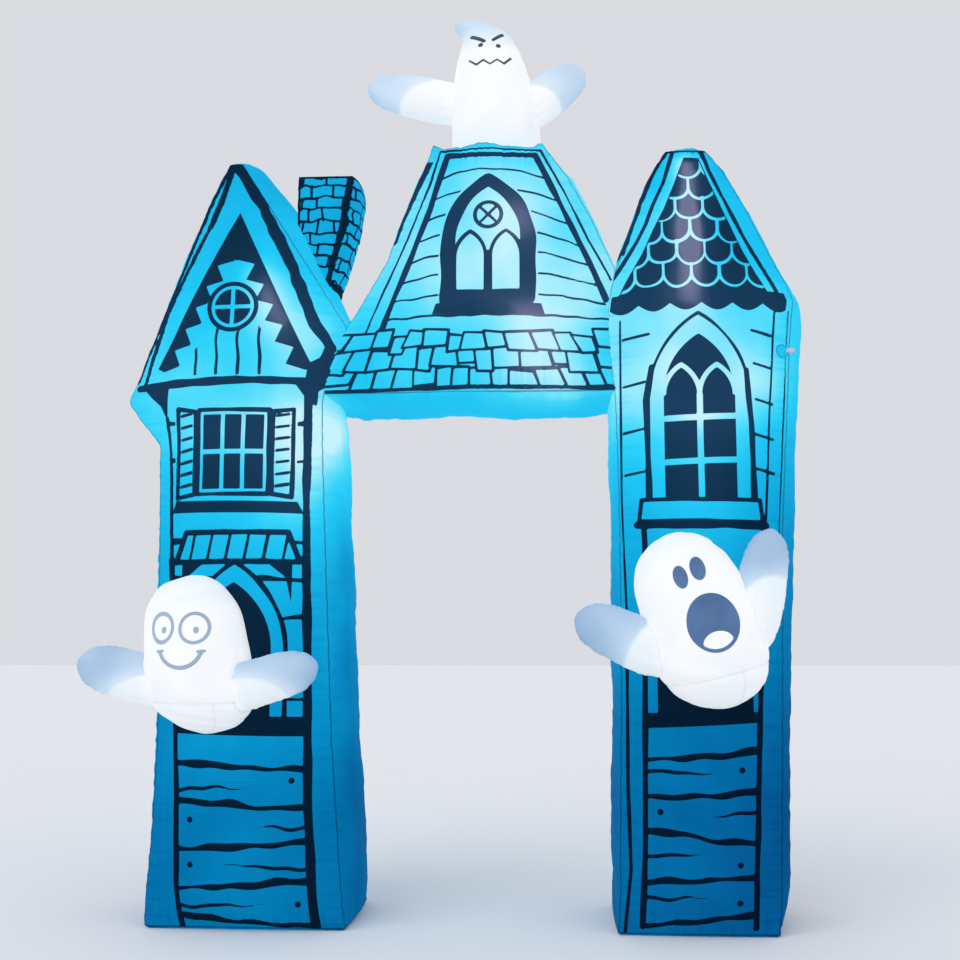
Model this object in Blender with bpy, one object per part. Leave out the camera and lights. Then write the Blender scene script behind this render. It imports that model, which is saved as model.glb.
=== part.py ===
"""Inflatable gateway: two house towers and a bridge house of sewn cloth, held up by air.

Metres, +Z up, front towards -Y. Each air chamber is a front panel, a back panel and the
gusset strip sewn between them, so it is lofted from level seam rings: front seam, right
side, back seam, left side. The air pushes every panel out between its seams.
"""
import math
from collections import namedtuple

import bmesh
import bpy
from mathutils import Vector

GAP = 0.0003             # clearance between pieces that are sewn or pressed together
LEVEL_SPACING = 0.115    # tallest step between two seam rings of a chamber
ACROSS = 10              # steps across a front or back panel
DEEP = 6                 # steps across a gusset strip
FLOOR_LIFT = 0.008       # height of the bottom seam above the floor that the leg stands on
GHOST_SIDES = 16
ARM_SIDES = 12
GHOST_PLANE = -0.330     # depth at which the two leg ghosts and their arms are centred

PATCH_RADIUS = 0.023
PATCH_THICKNESS = 0.0020
LOOP_OUTER = 0.0150
LOOP_WALL = 0.0025
LOOP_WIDTH = 0.012
TETHER = Vector((0.9640, -0.2400, 1.8010))
LOOP_CENTRE = Vector((0.9900, -0.2290, 1.8010))

# One seam ring. left and right are the front seams, half_depth is half the gusset's width,
# crown is how far the front panel stands out, and the bulges are those of the gusset.
Level = namedtuple("Level", "height left right half_depth crown left_bulge right_bulge")

LEFT_TOWER = [
    Level(FLOOR_LIFT, -1.046, -0.416, 0.214, 0.006, 0.004, 0.006),
    Level(0.049, -1.047, -0.422, 0.216, 0.040, 0.020, 0.030),
    Level(0.119, -1.045, -0.430, 0.216, 0.064, 0.034, 0.042),
    Level(0.260, -1.035, -0.442, 0.215, 0.076, 0.040, 0.048),
    Level(0.575, -1.024, -0.467, 0.215, 0.080, 0.043, 0.048),
    Level(1.145, -1.037, -0.495, 0.215, 0.080, 0.046, 0.048),
    Level(1.525, -1.047, -0.512, 0.215, 0.080, 0.030, 0.046),
    Level(1.605, -1.117, -0.513, 0.215, 0.081, 0.012, 0.040),
    Level(1.665, -1.158, -0.513, 0.215, 0.082, 0.018, 0.028),
    Level(1.735, -1.126, -0.497, 0.215, 0.083, 0.034, 0.008),
    Level(1.805, -1.103, -0.474, 0.215, 0.084, 0.042, 0.000),
    Level(1.900, -1.068, -0.434, 0.215, 0.082, 0.046, 0.012),
    Level(1.975, -1.042, -0.482, 0.213, 0.076, 0.048, 0.018),
    Level(2.075, -1.005, -0.545, 0.211, 0.068, 0.048, 0.034),
    Level(2.215, -0.956, -0.635, 0.205, 0.052, 0.048, 0.058),
    Level(2.355, -0.905, -0.724, 0.196, 0.030, 0.046, 0.068),
    Level(2.484, -0.850, -0.807, 0.182, 0.008, 0.040, 0.050),
]
LEFT_TOWER_RISE = 0.021

CENTRE_HOUSE = [
    Level(1.685, -0.530, 0.450, 0.215, 0.000, 0.000, 0.000),
    Level(1.725, -0.520, 0.446, 0.215, 0.034, 0.000, 0.000),
    Level(1.805, -0.494, 0.430, 0.215, 0.062, 0.000, 0.000),
    Level(1.900, -0.440, 0.424, 0.215, 0.076, 0.006, 0.000),
    Level(1.997, -0.379, 0.424, 0.215, 0.080, 0.022, 0.000),
    Level(2.083, -0.331, 0.442, 0.214, 0.080, 0.028, 0.010),
    Level(2.131, -0.304, 0.420, 0.212, 0.078, 0.030, 0.026),
    Level(2.267, -0.259, 0.361, 0.208, 0.066, 0.030, 0.032),
    Level(2.403, -0.206, 0.290, 0.203, 0.042, 0.028, 0.034),
    Level(2.475, -0.173, 0.238, 0.200, 0.020, 0.022, 0.026),
    Level(2.515, -0.158, 0.206, 0.197, 0.000, 0.008, 0.010),
]
CENTRE_HOUSE_RISE = 0.055
CENTRE_HOUSE_SAG = 0.036

RIGHT_TOWER = [
    Level(FLOOR_LIFT, 0.420, 0.908, 0.214, 0.006, 0.004, 0.010),
    Level(0.049, 0.424, 0.911, 0.216, 0.036, 0.008, 0.036),
    Level(0.130, 0.428, 0.915, 0.216, 0.060, 0.012, 0.054),
    Level(0.282, 0.430, 0.920, 0.215, 0.072, 0.016, 0.056),
    Level(0.705, 0.439, 0.935, 0.215, 0.076, 0.018, 0.054),
    Level(1.235, 0.442, 0.951, 0.215, 0.076, 0.018, 0.066),
    Level(1.515, 0.438, 0.970, 0.215, 0.076, 0.018, 0.062),
    Level(1.682, 0.433, 0.982, 0.215, 0.078, 0.010, 0.065),
    Level(1.805, 0.418, 0.989, 0.215, 0.080, 0.000, 0.067),
    Level(1.925, 0.412, 1.000, 0.215, 0.080, 0.000, 0.062),
    Level(1.971, 0.418, 1.008, 0.215, 0.078, 0.000, 0.050),
    Level(2.035, 0.430, 0.980, 0.214, 0.074, 0.002, 0.043),
    Level(2.083, 0.442, 0.956, 0.212, 0.070, 0.008, 0.041),
    Level(2.175, 0.476, 0.914, 0.209, 0.060, 0.014, 0.042),
    Level(2.315, 0.526, 0.848, 0.204, 0.044, 0.016, 0.042),
    Level(2.425, 0.573, 0.792, 0.196, 0.026, 0.018, 0.036),
    Level(2.493, 0.613, 0.740, 0.182, 0.006, 0.020, 0.034),
]
RIGHT_TOWER_RISE = 0.045

CHIMNEY = [
    Level(2.025, -0.628, -0.535, 0.104, 0.004, 0.004, 0.010),
    Level(2.125, -0.628, -0.508, 0.110, 0.014, 0.008, 0.022),
    Level(2.285, -0.629, -0.470, 0.115, 0.020, 0.010, 0.034),
    Level(2.415, -0.630, -0.451, 0.116, 0.016, 0.008, 0.036),
    Level(2.462, -0.629, -0.446, 0.112, 0.000, 0.000, 0.020),
]
CHIMNEY_RISE = 0.016

# One ring of a ghost: height above its base, sideways shift, half width and half depth.
Girth = namedtuple("Girth", "height shift half_width half_depth")

SMILING_GHOST = [
    Girth(0.000, 0.019, 0.026, 0.020),
    Girth(0.018, 0.022, 0.082, 0.062),
    Girth(0.049, 0.013, 0.127, 0.096),
    Girth(0.079, 0.002, 0.152, 0.113),
    Girth(0.122, -0.008, 0.165, 0.124),
    Girth(0.202, -0.017, 0.168, 0.130),
    Girth(0.287, -0.025, 0.159, 0.128),
    Girth(0.373, -0.037, 0.145, 0.116),
    Girth(0.419, -0.041, 0.122, 0.097),
    Girth(0.456, -0.040, 0.086, 0.068),
    Girth(0.479, -0.030, 0.034, 0.028),
]
SHOUTING_GHOST = [
    Girth(0.000, 0.014, 0.028, 0.022),
    Girth(0.017, 0.015, 0.079, 0.058),
    Girth(0.051, 0.011, 0.126, 0.092),
    Girth(0.100, 0.003, 0.157, 0.116),
    Girth(0.180, -0.002, 0.182, 0.130),
    Girth(0.260, 0.000, 0.182, 0.132),
    Girth(0.350, -0.010, 0.168, 0.126),
    Girth(0.430, -0.020, 0.150, 0.110),
    Girth(0.485, -0.022, 0.120, 0.086),
    Girth(0.522, -0.022, 0.080, 0.058),
    Girth(0.542, -0.020, 0.030, 0.022),
]
ROOF_GHOST = [
    Girth(0.000, 0.000, 0.150, 0.128),
    Girth(0.095, -0.001, 0.155, 0.134),
    Girth(0.170, -0.005, 0.155, 0.134),
    Girth(0.255, -0.010, 0.149, 0.130),
    Girth(0.330, -0.016, 0.138, 0.122),
    Girth(0.420, -0.024, 0.113, 0.104),
    Girth(0.480, -0.030, 0.092, 0.086),
    Girth(0.511, -0.044, 0.078, 0.070),
    Girth(0.535, -0.072, 0.076, 0.052),
    Girth(0.553, -0.097, 0.056, 0.037),
    Girth(0.563, -0.113, 0.028, 0.019),
]

# Share of the arm's length, and share of its width and depth there.
ArmRing = namedtuple("ArmRing", "along wide")
ARM = [
    ArmRing(0.00, 0.90), ArmRing(0.25, 1.00), ArmRing(0.50, 0.98), ArmRing(0.70, 0.92),
    ArmRing(0.84, 0.79), ArmRing(0.94, 0.56), ArmRing(1.00, 0.22),
]
Arm = namedtuple("Arm", "ghost name root tip depth half_width half_depth")
ARMS = [
    Arm("smiling_ghost", "smiling_ghost_arm_left", (-0.960, 0.750), (-1.244, 0.822),
        GHOST_PLANE, 0.080, 0.052),
    Arm("smiling_ghost", "smiling_ghost_arm_right", (-0.760, 0.732), (-0.496, 0.814),
        GHOST_PLANE, 0.074, 0.050),
    Arm("shouting_ghost", "shouting_ghost_arm_left", (0.590, 0.837), (0.302, 0.960),
        GHOST_PLANE, 0.084, 0.054),
    Arm("shouting_ghost", "shouting_ghost_arm_right", (0.816, 0.874), (0.898, 1.221),
        GHOST_PLANE, 0.078, 0.052),
    Arm("roof_ghost", "roof_ghost_arm_left", (-0.040, 2.742), (-0.409, 2.830), 0.0, 0.078, 0.052),
    Arm("roof_ghost", "roof_ghost_arm_right", (0.115, 2.700), (0.346, 2.872), 0.0, 0.078, 0.052),
]

COLOURS = {
    "printed_blue": (0.020, 0.330, 0.620, 1.0),
    "ghost_white": (0.860, 0.900, 0.950, 1.0),
    "webbing_white": (0.720, 0.780, 0.860, 1.0),
}


def clear_scene():
    """Take away whatever the file opened with."""
    for thing in list(bpy.data.objects):
        bpy.data.objects.remove(thing, do_unlink=True)


def cloth(name):
    """Return the plain cloth material of that colour, made once."""
    material = bpy.data.materials.get(name)
    if material is None:
        material = bpy.data.materials.new(name)
        material.use_nodes = True
        shader = material.node_tree.nodes["Principled BSDF"]
        shader.inputs["Base Color"].default_value = COLOURS[name]
        shader.inputs["Roughness"].default_value = 0.6
        shader.inputs["Metallic"].default_value = 0.0
    return material


def add_object(name, shape, material):
    """Turn a bmesh into a named, smooth shaded object of triangles, so its cuts follow them."""
    bmesh.ops.triangulate(shape, faces=shape.faces)
    bmesh.ops.recalc_face_normals(shape, faces=shape.faces)
    mesh = bpy.data.meshes.new(name)
    shape.to_mesh(mesh)
    shape.free()
    mesh.shade_smooth()
    thing = bpy.data.objects.new(name, mesh)
    thing.data.materials.append(cloth(material))
    bpy.context.scene.collection.objects.link(thing)
    return thing


def swell(share):
    """How far a panel stands out at a share of its width, from 0 at a seam to 1 between."""
    return 1.0 - abs(2.0 * share - 1.0) ** 2.2


def filled_levels(levels):
    """The named seam rings, with more between them where they are far apart."""
    filled = [levels[0]]
    for low, high in zip(levels, levels[1:]):
        steps = math.ceil((high.height - low.height) / LEVEL_SPACING)
        for step in range(1, steps + 1):
            share = step / steps
            filled.append(Level(*(a + (b - a) * share for a, b in zip(low, high))))
    return filled


def edge_normals(points, side):
    """Outward directions (x, z) along an edge of points (x, z); side is -1 left, +1 right."""
    runs = [Vector(b) - Vector(a) for a, b in zip(points, points[1:])]
    runs = [run.normalized() for run in runs]
    ends = [runs[0]] + runs + [runs[-1]]
    tangents = [(before + after).normalized() for before, after in zip(ends, ends[1:])]
    return [Vector((side * tangent.y, -side * tangent.x)) for tangent in tangents]


def seam_ring(level, left_normal, right_normal):
    """Points round one level, seen from above: front seam, right side, back seam, left side."""
    front, right, back, left = [], [], [], []
    width = level.right - level.left
    for step in range(ACROSS):
        share = step / ACROSS
        out = level.half_depth + level.crown * swell(share)
        front.append(Vector((level.left + width * share, -out, level.height)))
        back.append(Vector((level.right - width * share, out, level.height)))
    for step in range(DEEP):
        share = step / DEEP
        depth = level.half_depth * (2.0 * share - 1.0)
        push = right_normal * level.right_bulge * swell(share)
        right.append(Vector((level.right + push.x, depth, level.height + push.y)))
        push = left_normal * level.left_bulge * swell(share)
        left.append(Vector((level.left + push.x, -depth, level.height + push.y)))
    return front + right + back + left


def cap_grid(ring, rise, floor=None):
    """Rows of points that close a ring: its own on the rim, and a swelling sheet inside."""
    size = len(ring)

    def rim(i, j):
        if j == 0:
            return ring[i]
        if i == ACROSS:
            return ring[ACROSS + j]
        if j == DEEP:
            return ring[2 * ACROSS + DEEP - i]
        return ring[(size - j) % size]

    grid = {}
    for i in range(1, ACROSS):
        for j in range(1, DEEP):
            u, v = i / ACROSS, j / DEEP
            corners = (rim(0, 0) * (1 - u) * (1 - v) + rim(ACROSS, 0) * u * (1 - v)
                       + rim(0, DEEP) * (1 - u) * v + rim(ACROSS, DEEP) * u * v)
            point = (rim(i, 0) * (1 - v) + rim(i, DEEP) * v
                     + rim(0, j) * (1 - u) + rim(ACROSS, j) * u - corners)
            point.z += rise * swell(u) * swell(v)
            if floor is not None:
                point.z = floor
            grid[i, j] = point
    return grid


def close_end(shape, ring_vertices, grid):
    """Skin a cap between the vertices of a ring and the points of its grid."""
    size = len(ring_vertices)
    vertices = {place: shape.verts.new(point) for place, point in grid.items()}
    for i in range(ACROSS + 1):
        vertices[i, 0] = ring_vertices[i]
        vertices[i, DEEP] = ring_vertices[2 * ACROSS + DEEP - i]
    for j in range(DEEP + 1):
        vertices[0, j] = ring_vertices[(size - j) % size]
        vertices[ACROSS, j] = ring_vertices[ACROSS + j]
    for i in range(ACROSS):
        for j in range(DEEP):
            shape.faces.new((vertices[i, j], vertices[i + 1, j],
                             vertices[i + 1, j + 1], vertices[i, j + 1]))


def skin_rings(shape, rings):
    """Join each ring of vertices to the next with a band of faces."""
    for low, high in zip(rings, rings[1:]):
        for index in range(len(low)):
            after = (index + 1) % len(low)
            shape.faces.new((low[index], low[after], high[after], high[index]))


def add_chamber(name, levels, top_rise, bottom_rise=0.0, floor=None, material="printed_blue"):
    """Make an air chamber from its seam rings, closed by a top and a bottom panel."""
    levels = filled_levels(levels)
    left_normals = edge_normals([(level.left, level.height) for level in levels], -1)
    right_normals = edge_normals([(level.right, level.height) for level in levels], 1)
    up = Vector((0.0, 1.0))
    left_normals[-1] = (left_normals[-1] + up).normalized()
    right_normals[-1] = (right_normals[-1] + up).normalized()
    points = [seam_ring(*row) for row in zip(levels, left_normals, right_normals)]
    shape = bmesh.new()
    rings = [[shape.verts.new(point) for point in ring] for ring in points]
    skin_rings(shape, rings)
    close_end(shape, rings[-1], cap_grid(points[-1], top_rise))
    close_end(shape, rings[0], cap_grid(points[0], bottom_rise, floor))
    return add_object(name, shape, material)


def ellipse_ring(centre, half_width, half_depth, sides, width_axis):
    """Points of an ellipse across a ghost or an arm."""
    ring = []
    for side in range(sides):
        angle = 2.0 * math.pi * (side + 0.5) / sides
        ring.append(centre + width_axis * half_width * math.cos(angle)
                    + Vector((0.0, half_depth * math.sin(angle), 0.0)))
    return ring


def add_loft(name, rings, material):
    """Skin a row of rings and close both ends with a flat face."""
    shape = bmesh.new()
    vertices = [[shape.verts.new(point) for point in ring] for ring in rings]
    skin_rings(shape, vertices)
    shape.faces.new(vertices[0])
    shape.faces.new(vertices[-1])
    return add_object(name, shape, material)


def add_ghost(name, girths, place, lean=0.0):
    """Make a ghost's body upright at its own base, then set it in its place and lean."""
    sideways = Vector((1.0, 0.0, 0.0))
    rings = [ellipse_ring(Vector((girth.shift, 0.0, girth.height)), girth.half_width,
                          girth.half_depth, GHOST_SIDES, sideways) for girth in girths]
    ghost = add_loft(name, rings, "ghost_white")
    ghost.location = place
    ghost.rotation_euler.y = lean
    return ghost


def add_arm(arm):
    """Make an arm along +X from its root, then turn it up to its tip."""
    run = Vector(arm.tip) - Vector(arm.root)
    upward = Vector((0.0, 0.0, 1.0))
    rings = [ellipse_ring(Vector((ring.along * run.length, 0.0, 0.0)), ring.wide * arm.half_width,
                          ring.wide * arm.half_depth, ARM_SIDES, upward) for ring in ARM]
    flipper = add_loft(arm.name, rings, "ghost_white")
    flipper.location = (arm.root[0], arm.depth, arm.root[1])
    flipper.rotation_euler.y = -math.atan2(run.y, run.x)
    return flipper


def grown_cutter(thing, gap):
    """A copy of an object's own mesh, standing out by the gap, used only to cut others."""
    shape = bmesh.new()
    shape.from_mesh(thing.data)
    shape.normal_update()
    moves = [(vertex, vertex.normal * gap * vertex.calc_shell_factor()) for vertex in shape.verts]
    for vertex, move in moves:
        vertex.co += move
    cutter = add_object("cutter_%s_%d" % (thing.name, round(gap * 10000)), shape, "printed_blue")
    cutter.location = thing.location
    cutter.rotation_euler = thing.rotation_euler
    cutter.parent = thing.parent
    cutter.hide_render = True
    cutter.display_type = "WIRE"
    return cutter


def fit_to(thing, cutter, operation="DIFFERENCE"):
    """Trim an object to the piece that it is sewn to or presses on."""
    boolean = thing.modifiers.new("fit_to_" + cutter.name, "BOOLEAN")
    boolean.operation = operation
    boolean.solver = "EXACT"
    boolean.object = cutter


def add_tether(tower):
    """The round reinforcing patch by the right seam, and the webbing loop sewn over it."""
    shape = bmesh.new()
    bmesh.ops.create_cone(shape, cap_ends=True, segments=20, radius1=PATCH_RADIUS,
                          radius2=PATCH_RADIUS, depth=0.08)
    patch = add_object("tether_patch", shape, "printed_blue")
    patch.location = TETHER
    patch.rotation_euler.x = math.pi / 2
    patch.parent = tower.parent
    fit_to(patch, grown_cutter(tower, PATCH_THICKNESS), "INTERSECT")
    fit_to(patch, grown_cutter(tower, GAP))

    shape = bmesh.new()
    sides = 20
    rims = []
    for height in (-LOOP_WIDTH / 2, LOOP_WIDTH / 2):
        for radius in (LOOP_OUTER, LOOP_OUTER - LOOP_WALL):
            turns = [2.0 * math.pi * side / sides for side in range(sides)]
            rims.append([shape.verts.new((radius * math.cos(turn), radius * math.sin(turn), height))
                         for turn in turns])
    low_outer, low_inner, high_outer, high_inner = rims
    skin_rings(shape, [low_inner, low_outer, high_outer, high_inner, low_inner])
    loop = add_object("tether_loop", shape, "webbing_white")
    loop.location = LOOP_CENTRE
    loop.parent = tower.parent
    fit_to(loop, grown_cutter(tower, PATCH_THICKNESS + GAP))


def stand_on_origin(stand):
    """Move the stand so that the middle of the whole arch's footprint is the origin."""
    bpy.context.view_layer.update()
    graph = bpy.context.evaluated_depsgraph_get()
    corners = []
    for thing in bpy.context.scene.objects:
        if thing.type == "MESH" and not thing.hide_render:
            shown = thing.evaluated_get(graph)
            corners += [shown.matrix_world @ vertex.co for vertex in shown.data.vertices]
    for axis in range(2):
        reach = [corner[axis] for corner in corners]
        stand.location[axis] = -(min(reach) + max(reach)) / 2
    stand.location.z = -min(corner.z for corner in corners)


def build_arch():
    clear_scene()
    stand = bpy.data.objects.new("stand", None)
    bpy.context.scene.collection.objects.link(stand)

    left_tower = add_chamber("left_tower", LEFT_TOWER, LEFT_TOWER_RISE, floor=0.0)
    right_tower = add_chamber("right_tower", RIGHT_TOWER, RIGHT_TOWER_RISE, floor=0.0)
    centre_house = add_chamber("centre_house", CENTRE_HOUSE, CENTRE_HOUSE_RISE, -CENTRE_HOUSE_SAG)
    chimney = add_chamber("chimney", CHIMNEY, CHIMNEY_RISE)
    ghosts = {
        "smiling_ghost": add_ghost("smiling_ghost", SMILING_GHOST, (-0.850, GHOST_PLANE, 0.607)),
        "shouting_ghost": add_ghost("shouting_ghost", SHOUTING_GHOST, (0.745, GHOST_PLANE, 0.688),
                                    math.radians(-14.0)),
        "roof_ghost": add_ghost("roof_ghost", ROOF_GHOST, (0.046, 0.0, 2.500)),
    }
    arms = [(add_arm(arm), ghosts[arm.ghost]) for arm in ARMS]
    pieces = [left_tower, right_tower, centre_house, chimney, *ghosts.values()]
    pieces += [arm for arm, ghost in arms]
    for piece in pieces:
        piece.parent = stand

    left_cutter = grown_cutter(left_tower, GAP)
    right_cutter = grown_cutter(right_tower, GAP)
    top_cutter = grown_cutter(centre_house, GAP)
    fit_to(centre_house, left_cutter)
    fit_to(centre_house, right_cutter)
    fit_to(chimney, left_cutter)
    for name, carrier in (("smiling_ghost", left_cutter), ("shouting_ghost", right_cutter),
                          ("roof_ghost", top_cutter)):
        ghost = ghosts[name]
        fit_to(ghost, carrier)
        body_cutter = grown_cutter(ghost, GAP)
        for arm, owner in arms:
            if owner is ghost:
                fit_to(arm, carrier)
                fit_to(arm, body_cutter)
    add_tether(right_tower)
    stand_on_origin(stand)


build_arch()
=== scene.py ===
"""Inflatable gateway: two house towers, a bridge house and three ghosts of sewn cloth.

The real one is thin coated polyester, dye printed and sewn into air chambers. A blower keeps
them taut and small lamps inside make the cloth glow. Metres, +Z up, the printed front towards -Y.
"""
import math
from collections import namedtuple

import bpy
import numpy as np
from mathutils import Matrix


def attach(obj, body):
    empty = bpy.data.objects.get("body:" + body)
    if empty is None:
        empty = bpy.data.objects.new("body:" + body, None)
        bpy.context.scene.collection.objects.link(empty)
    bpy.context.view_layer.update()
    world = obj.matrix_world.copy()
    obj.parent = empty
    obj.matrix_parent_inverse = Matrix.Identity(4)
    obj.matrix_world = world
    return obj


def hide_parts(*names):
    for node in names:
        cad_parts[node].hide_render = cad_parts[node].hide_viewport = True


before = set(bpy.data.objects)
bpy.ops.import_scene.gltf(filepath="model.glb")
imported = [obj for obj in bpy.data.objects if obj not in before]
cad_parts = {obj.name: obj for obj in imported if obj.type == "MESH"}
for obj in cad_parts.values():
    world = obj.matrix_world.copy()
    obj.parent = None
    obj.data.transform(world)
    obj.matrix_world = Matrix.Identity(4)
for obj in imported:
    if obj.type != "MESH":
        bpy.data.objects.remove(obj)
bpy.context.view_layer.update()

# ---------------------------------------------------------------- studio
# A plain pale floor, a pale surround and two broad soft lights. The camera looks slightly up
# and to the left from the height of a seated person, as someone walking up to the gate would.
FOOTPRINT_SHIFT = np.array((0.09336, 0.08023, 0.0))   # drawing axes to the frame's axes
CAMERA_PLACE = (0.3447, -4.0348, 0.8892)
CAMERA_PITCH_UP = 7.407
CAMERA_YAW_LEFT = 3.690
CAMERA_LENS = 46.16
FLOOR_REACH = 40.0
# name, place, how wide its disc looks in degrees, and strength
SOFT_LIGHTS = (("key_light", (-3.2, -4.6, 4.6), 50.0, 0.75),
               ("fill_light", (4.2, -3.8, 2.8), 60.0, 0.30))
SURROUND_COLOUR = (0.93, 0.95, 1.0, 1.0)
SURROUND_STRENGTH = 0.75


def link(thing):
    """Put an object into the scene."""
    bpy.context.scene.collection.objects.link(thing)
    return thing


def plain_material(name, sockets):
    """A material with its shader's sockets set by name."""
    material = bpy.data.materials.new(name)
    material.use_nodes = True
    for socket, value in sockets.items():
        material.node_tree.nodes["Principled BSDF"].inputs[socket].default_value = value
    return material


camera = link(bpy.data.objects.new("camera", bpy.data.cameras.new("camera")))
camera.location = CAMERA_PLACE
camera.rotation_euler = (math.radians(90.0 + CAMERA_PITCH_UP), 0.0, math.radians(CAMERA_YAW_LEFT))
camera.data.lens = CAMERA_LENS
camera.data.sensor_width = 36.0
bpy.context.scene.camera = camera
bpy.context.scene.view_settings.view_transform = "Standard"

for name, place, spread, strength in SOFT_LIGHTS:
    light = bpy.data.lights.new(name, "SUN")
    light.angle = math.radians(spread)
    light.energy = strength
    holder = link(bpy.data.objects.new(name, light))
    holder.location = place
    holder.rotation_euler = (math.atan2(math.hypot(place[0], place[1]), place[2]), 0.0,
                             math.atan2(place[0], -place[1]))

world = bpy.data.worlds.new("pale_surround")
world.use_nodes = True
surround = world.node_tree.nodes["Background"]
surround.inputs["Color"].default_value = SURROUND_COLOUR
surround.inputs["Strength"].default_value = SURROUND_STRENGTH
bpy.context.scene.world = world

floor_mesh = bpy.data.meshes.new("floor")
floor_mesh.from_pydata([(FLOOR_REACH * x, FLOOR_REACH * y, 0.0)
                        for x, y in ((-1, -1), (1, -1), (1, 1), (-1, 1))], [], [(0, 1, 2, 3)])
floor_mesh.materials.append(plain_material("pale_floor", {
    "Base Color": (0.86, 0.87, 0.89, 1.0), "Roughness": 0.85}))
link(bpy.data.objects.new("floor", floor_mesh))

# ---------------------------------------------------------------- left tower
# The left chamber: a leg, an eave on its outer side and a steep gable, cut as a printed front
# panel, a plain back panel and one gusset strip, sewn inside out and blown taut. The seams pull
# small gathers into the cloth, and the lamps inside light the upper half more than the foot.
FRONT_STEP = 0.0050      # spacing of the printed panel's mesh
PLAIN_STEP = 0.0125      # spacing of the unprinted panels' mesh
NO_INK = 0.05            # distance to the ink where a panel is not printed
FAR = 9.0                # a distance that is past every piece
SEAM_GATHER = 0.0042     # depth of the gathers beside a seam
GATHER_REACH = 0.020     # how far from the seam a gather is deepest
GATHER_PITCH = 0.034
PANEL_RIPPLE = 0.0030
SLACK_START = 0.06       # how far from a seam a panel is slack enough to ripple
SEAM_WAVER = 0.0013
WAVER_START = 0.03       # height over the foot where a seam wavers fully
OUTLINE_STEP = 0.002
OUTLINE_ROUNDING = 5     # steps over which a table's kinks are rounded
CREST_REACH = 0.12       # how far below a chamber's top its hem's crest is felt
FOLD_SHADE = -5.5        # how much dimmer the cloth is for each metre it sinks into a fold

Level = namedtuple("Level", "height left right half_depth crown left_bulge right_bulge")
LEFT_TOWER = [Level(*row) for row in (
    (0.008, -1.046, -0.416, 0.214, 0.006, 0.004, 0.006),
    (0.049, -1.047, -0.422, 0.216, 0.040, 0.020, 0.030),
    (0.119, -1.045, -0.430, 0.216, 0.064, 0.034, 0.042),
    (0.260, -1.035, -0.442, 0.215, 0.076, 0.040, 0.048),
    (0.575, -1.024, -0.467, 0.215, 0.080, 0.043, 0.048),
    (1.145, -1.037, -0.495, 0.215, 0.080, 0.046, 0.048),
    (1.525, -1.047, -0.512, 0.215, 0.080, 0.030, 0.046),
    (1.605, -1.117, -0.513, 0.215, 0.081, 0.012, 0.040),
    (1.665, -1.158, -0.513, 0.215, 0.082, 0.018, 0.028),
    (1.735, -1.126, -0.497, 0.215, 0.083, 0.034, 0.008),
    (1.805, -1.103, -0.474, 0.215, 0.084, 0.042, 0.000),
    (1.900, -1.068, -0.434, 0.215, 0.082, 0.046, 0.012),
    (1.975, -1.042, -0.482, 0.213, 0.076, 0.048, 0.018),
    (2.075, -1.005, -0.545, 0.211, 0.068, 0.048, 0.034),
    (2.215, -0.956, -0.635, 0.205, 0.052, 0.048, 0.058),
    (2.355, -0.905, -0.724, 0.196, 0.030, 0.046, 0.068),
    (2.484, -0.850, -0.807, 0.182, 0.008, 0.040, 0.050)
)]
LEFT_TOWER_RISE = 0.021
TOWER_FOOT_SAG = 0.01

# Lamps inside the chambers: place, how far the bright patch spreads, and how bright it is.
Lamp = namedtuple("Lamp", "x y z spread power")
LAMPS = [Lamp(*row) for row in (
    (-0.495, -0.12, 1.57, 0.11, 0.18), (-0.580, -0.28, 1.45, 0.12, 0.17), (-0.570, -0.26, 1.88, 0.12, 0.13),
    (-0.900, -0.27, 1.58, 0.13, 0.05), (-0.605, -0.28, 1.62, 0.12, 0.12), (-0.610, -0.28, 1.30, 0.15, 0.11),
    (-0.740, -0.28, 1.57, 0.09, 0.08), (-1.090, -0.25, 1.78, 0.15, 0.08), (-0.740, -0.30, 0.20, 0.22, 0.05),
    (-0.740, -0.30, 0.55, 0.20, 0.05), (-0.080, -0.27, 2.06, 0.16, 0.04), (0.060, -0.28, 2.05, 0.13, 0.06),
    (0.330, -0.26, 1.98, 0.14, 0.06), (0.470, -0.26, 1.66, 0.11, 0.05), (0.220, -0.26, 1.66, 0.16, 0.06),
    (0.290, -0.24, 1.62, 0.09, 0.09), (0.870, -0.28, 1.65, 0.11, 0.11), (0.700, -0.28, 1.80, 0.12, 0.03),
    (0.690, -0.28, 1.60, 0.08, 0.13), (0.700, -0.28, 1.42, 0.16, 0.11), (0.690, -0.28, 1.22, 0.14, 0.06),
    (0.635, -0.28, 1.74, 0.09, 0.07), (0.310, -0.25, 1.73, 0.08, 0.05), (0.530, -0.27, 2.10, 0.10, 0.08),
    (0.560, -0.27, 2.25, 0.09, 0.07)
)]
# Where the ink's smooth face catches their light too: up the right tower's roof, down the left
# gable and on the centre house.
SHINES = [Lamp(0.680, -0.27, height, 0.068, power) for height, power in (
    (1.99, 0.10), (2.075, 0.16), (2.16, 0.19), (2.245, 0.20), (2.33, 0.22), (2.415, 0.28), (2.48, 0.20)
)] + [Lamp(*row) for row in (
    (-0.712, -0.27, 2.070, 0.070, 0.15), (-0.692, -0.27, 1.995, 0.070, 0.12),
    (-0.672, -0.27, 1.920, 0.070, 0.09), (0.120, -0.27, 2.24, 0.11, 0.08), (0.160, -0.27, 1.83, 0.15, 0.14)
)]
PLAIN_INK_GLOW = 0.90    # the ink takes no more than this of the lamps' even light
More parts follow.
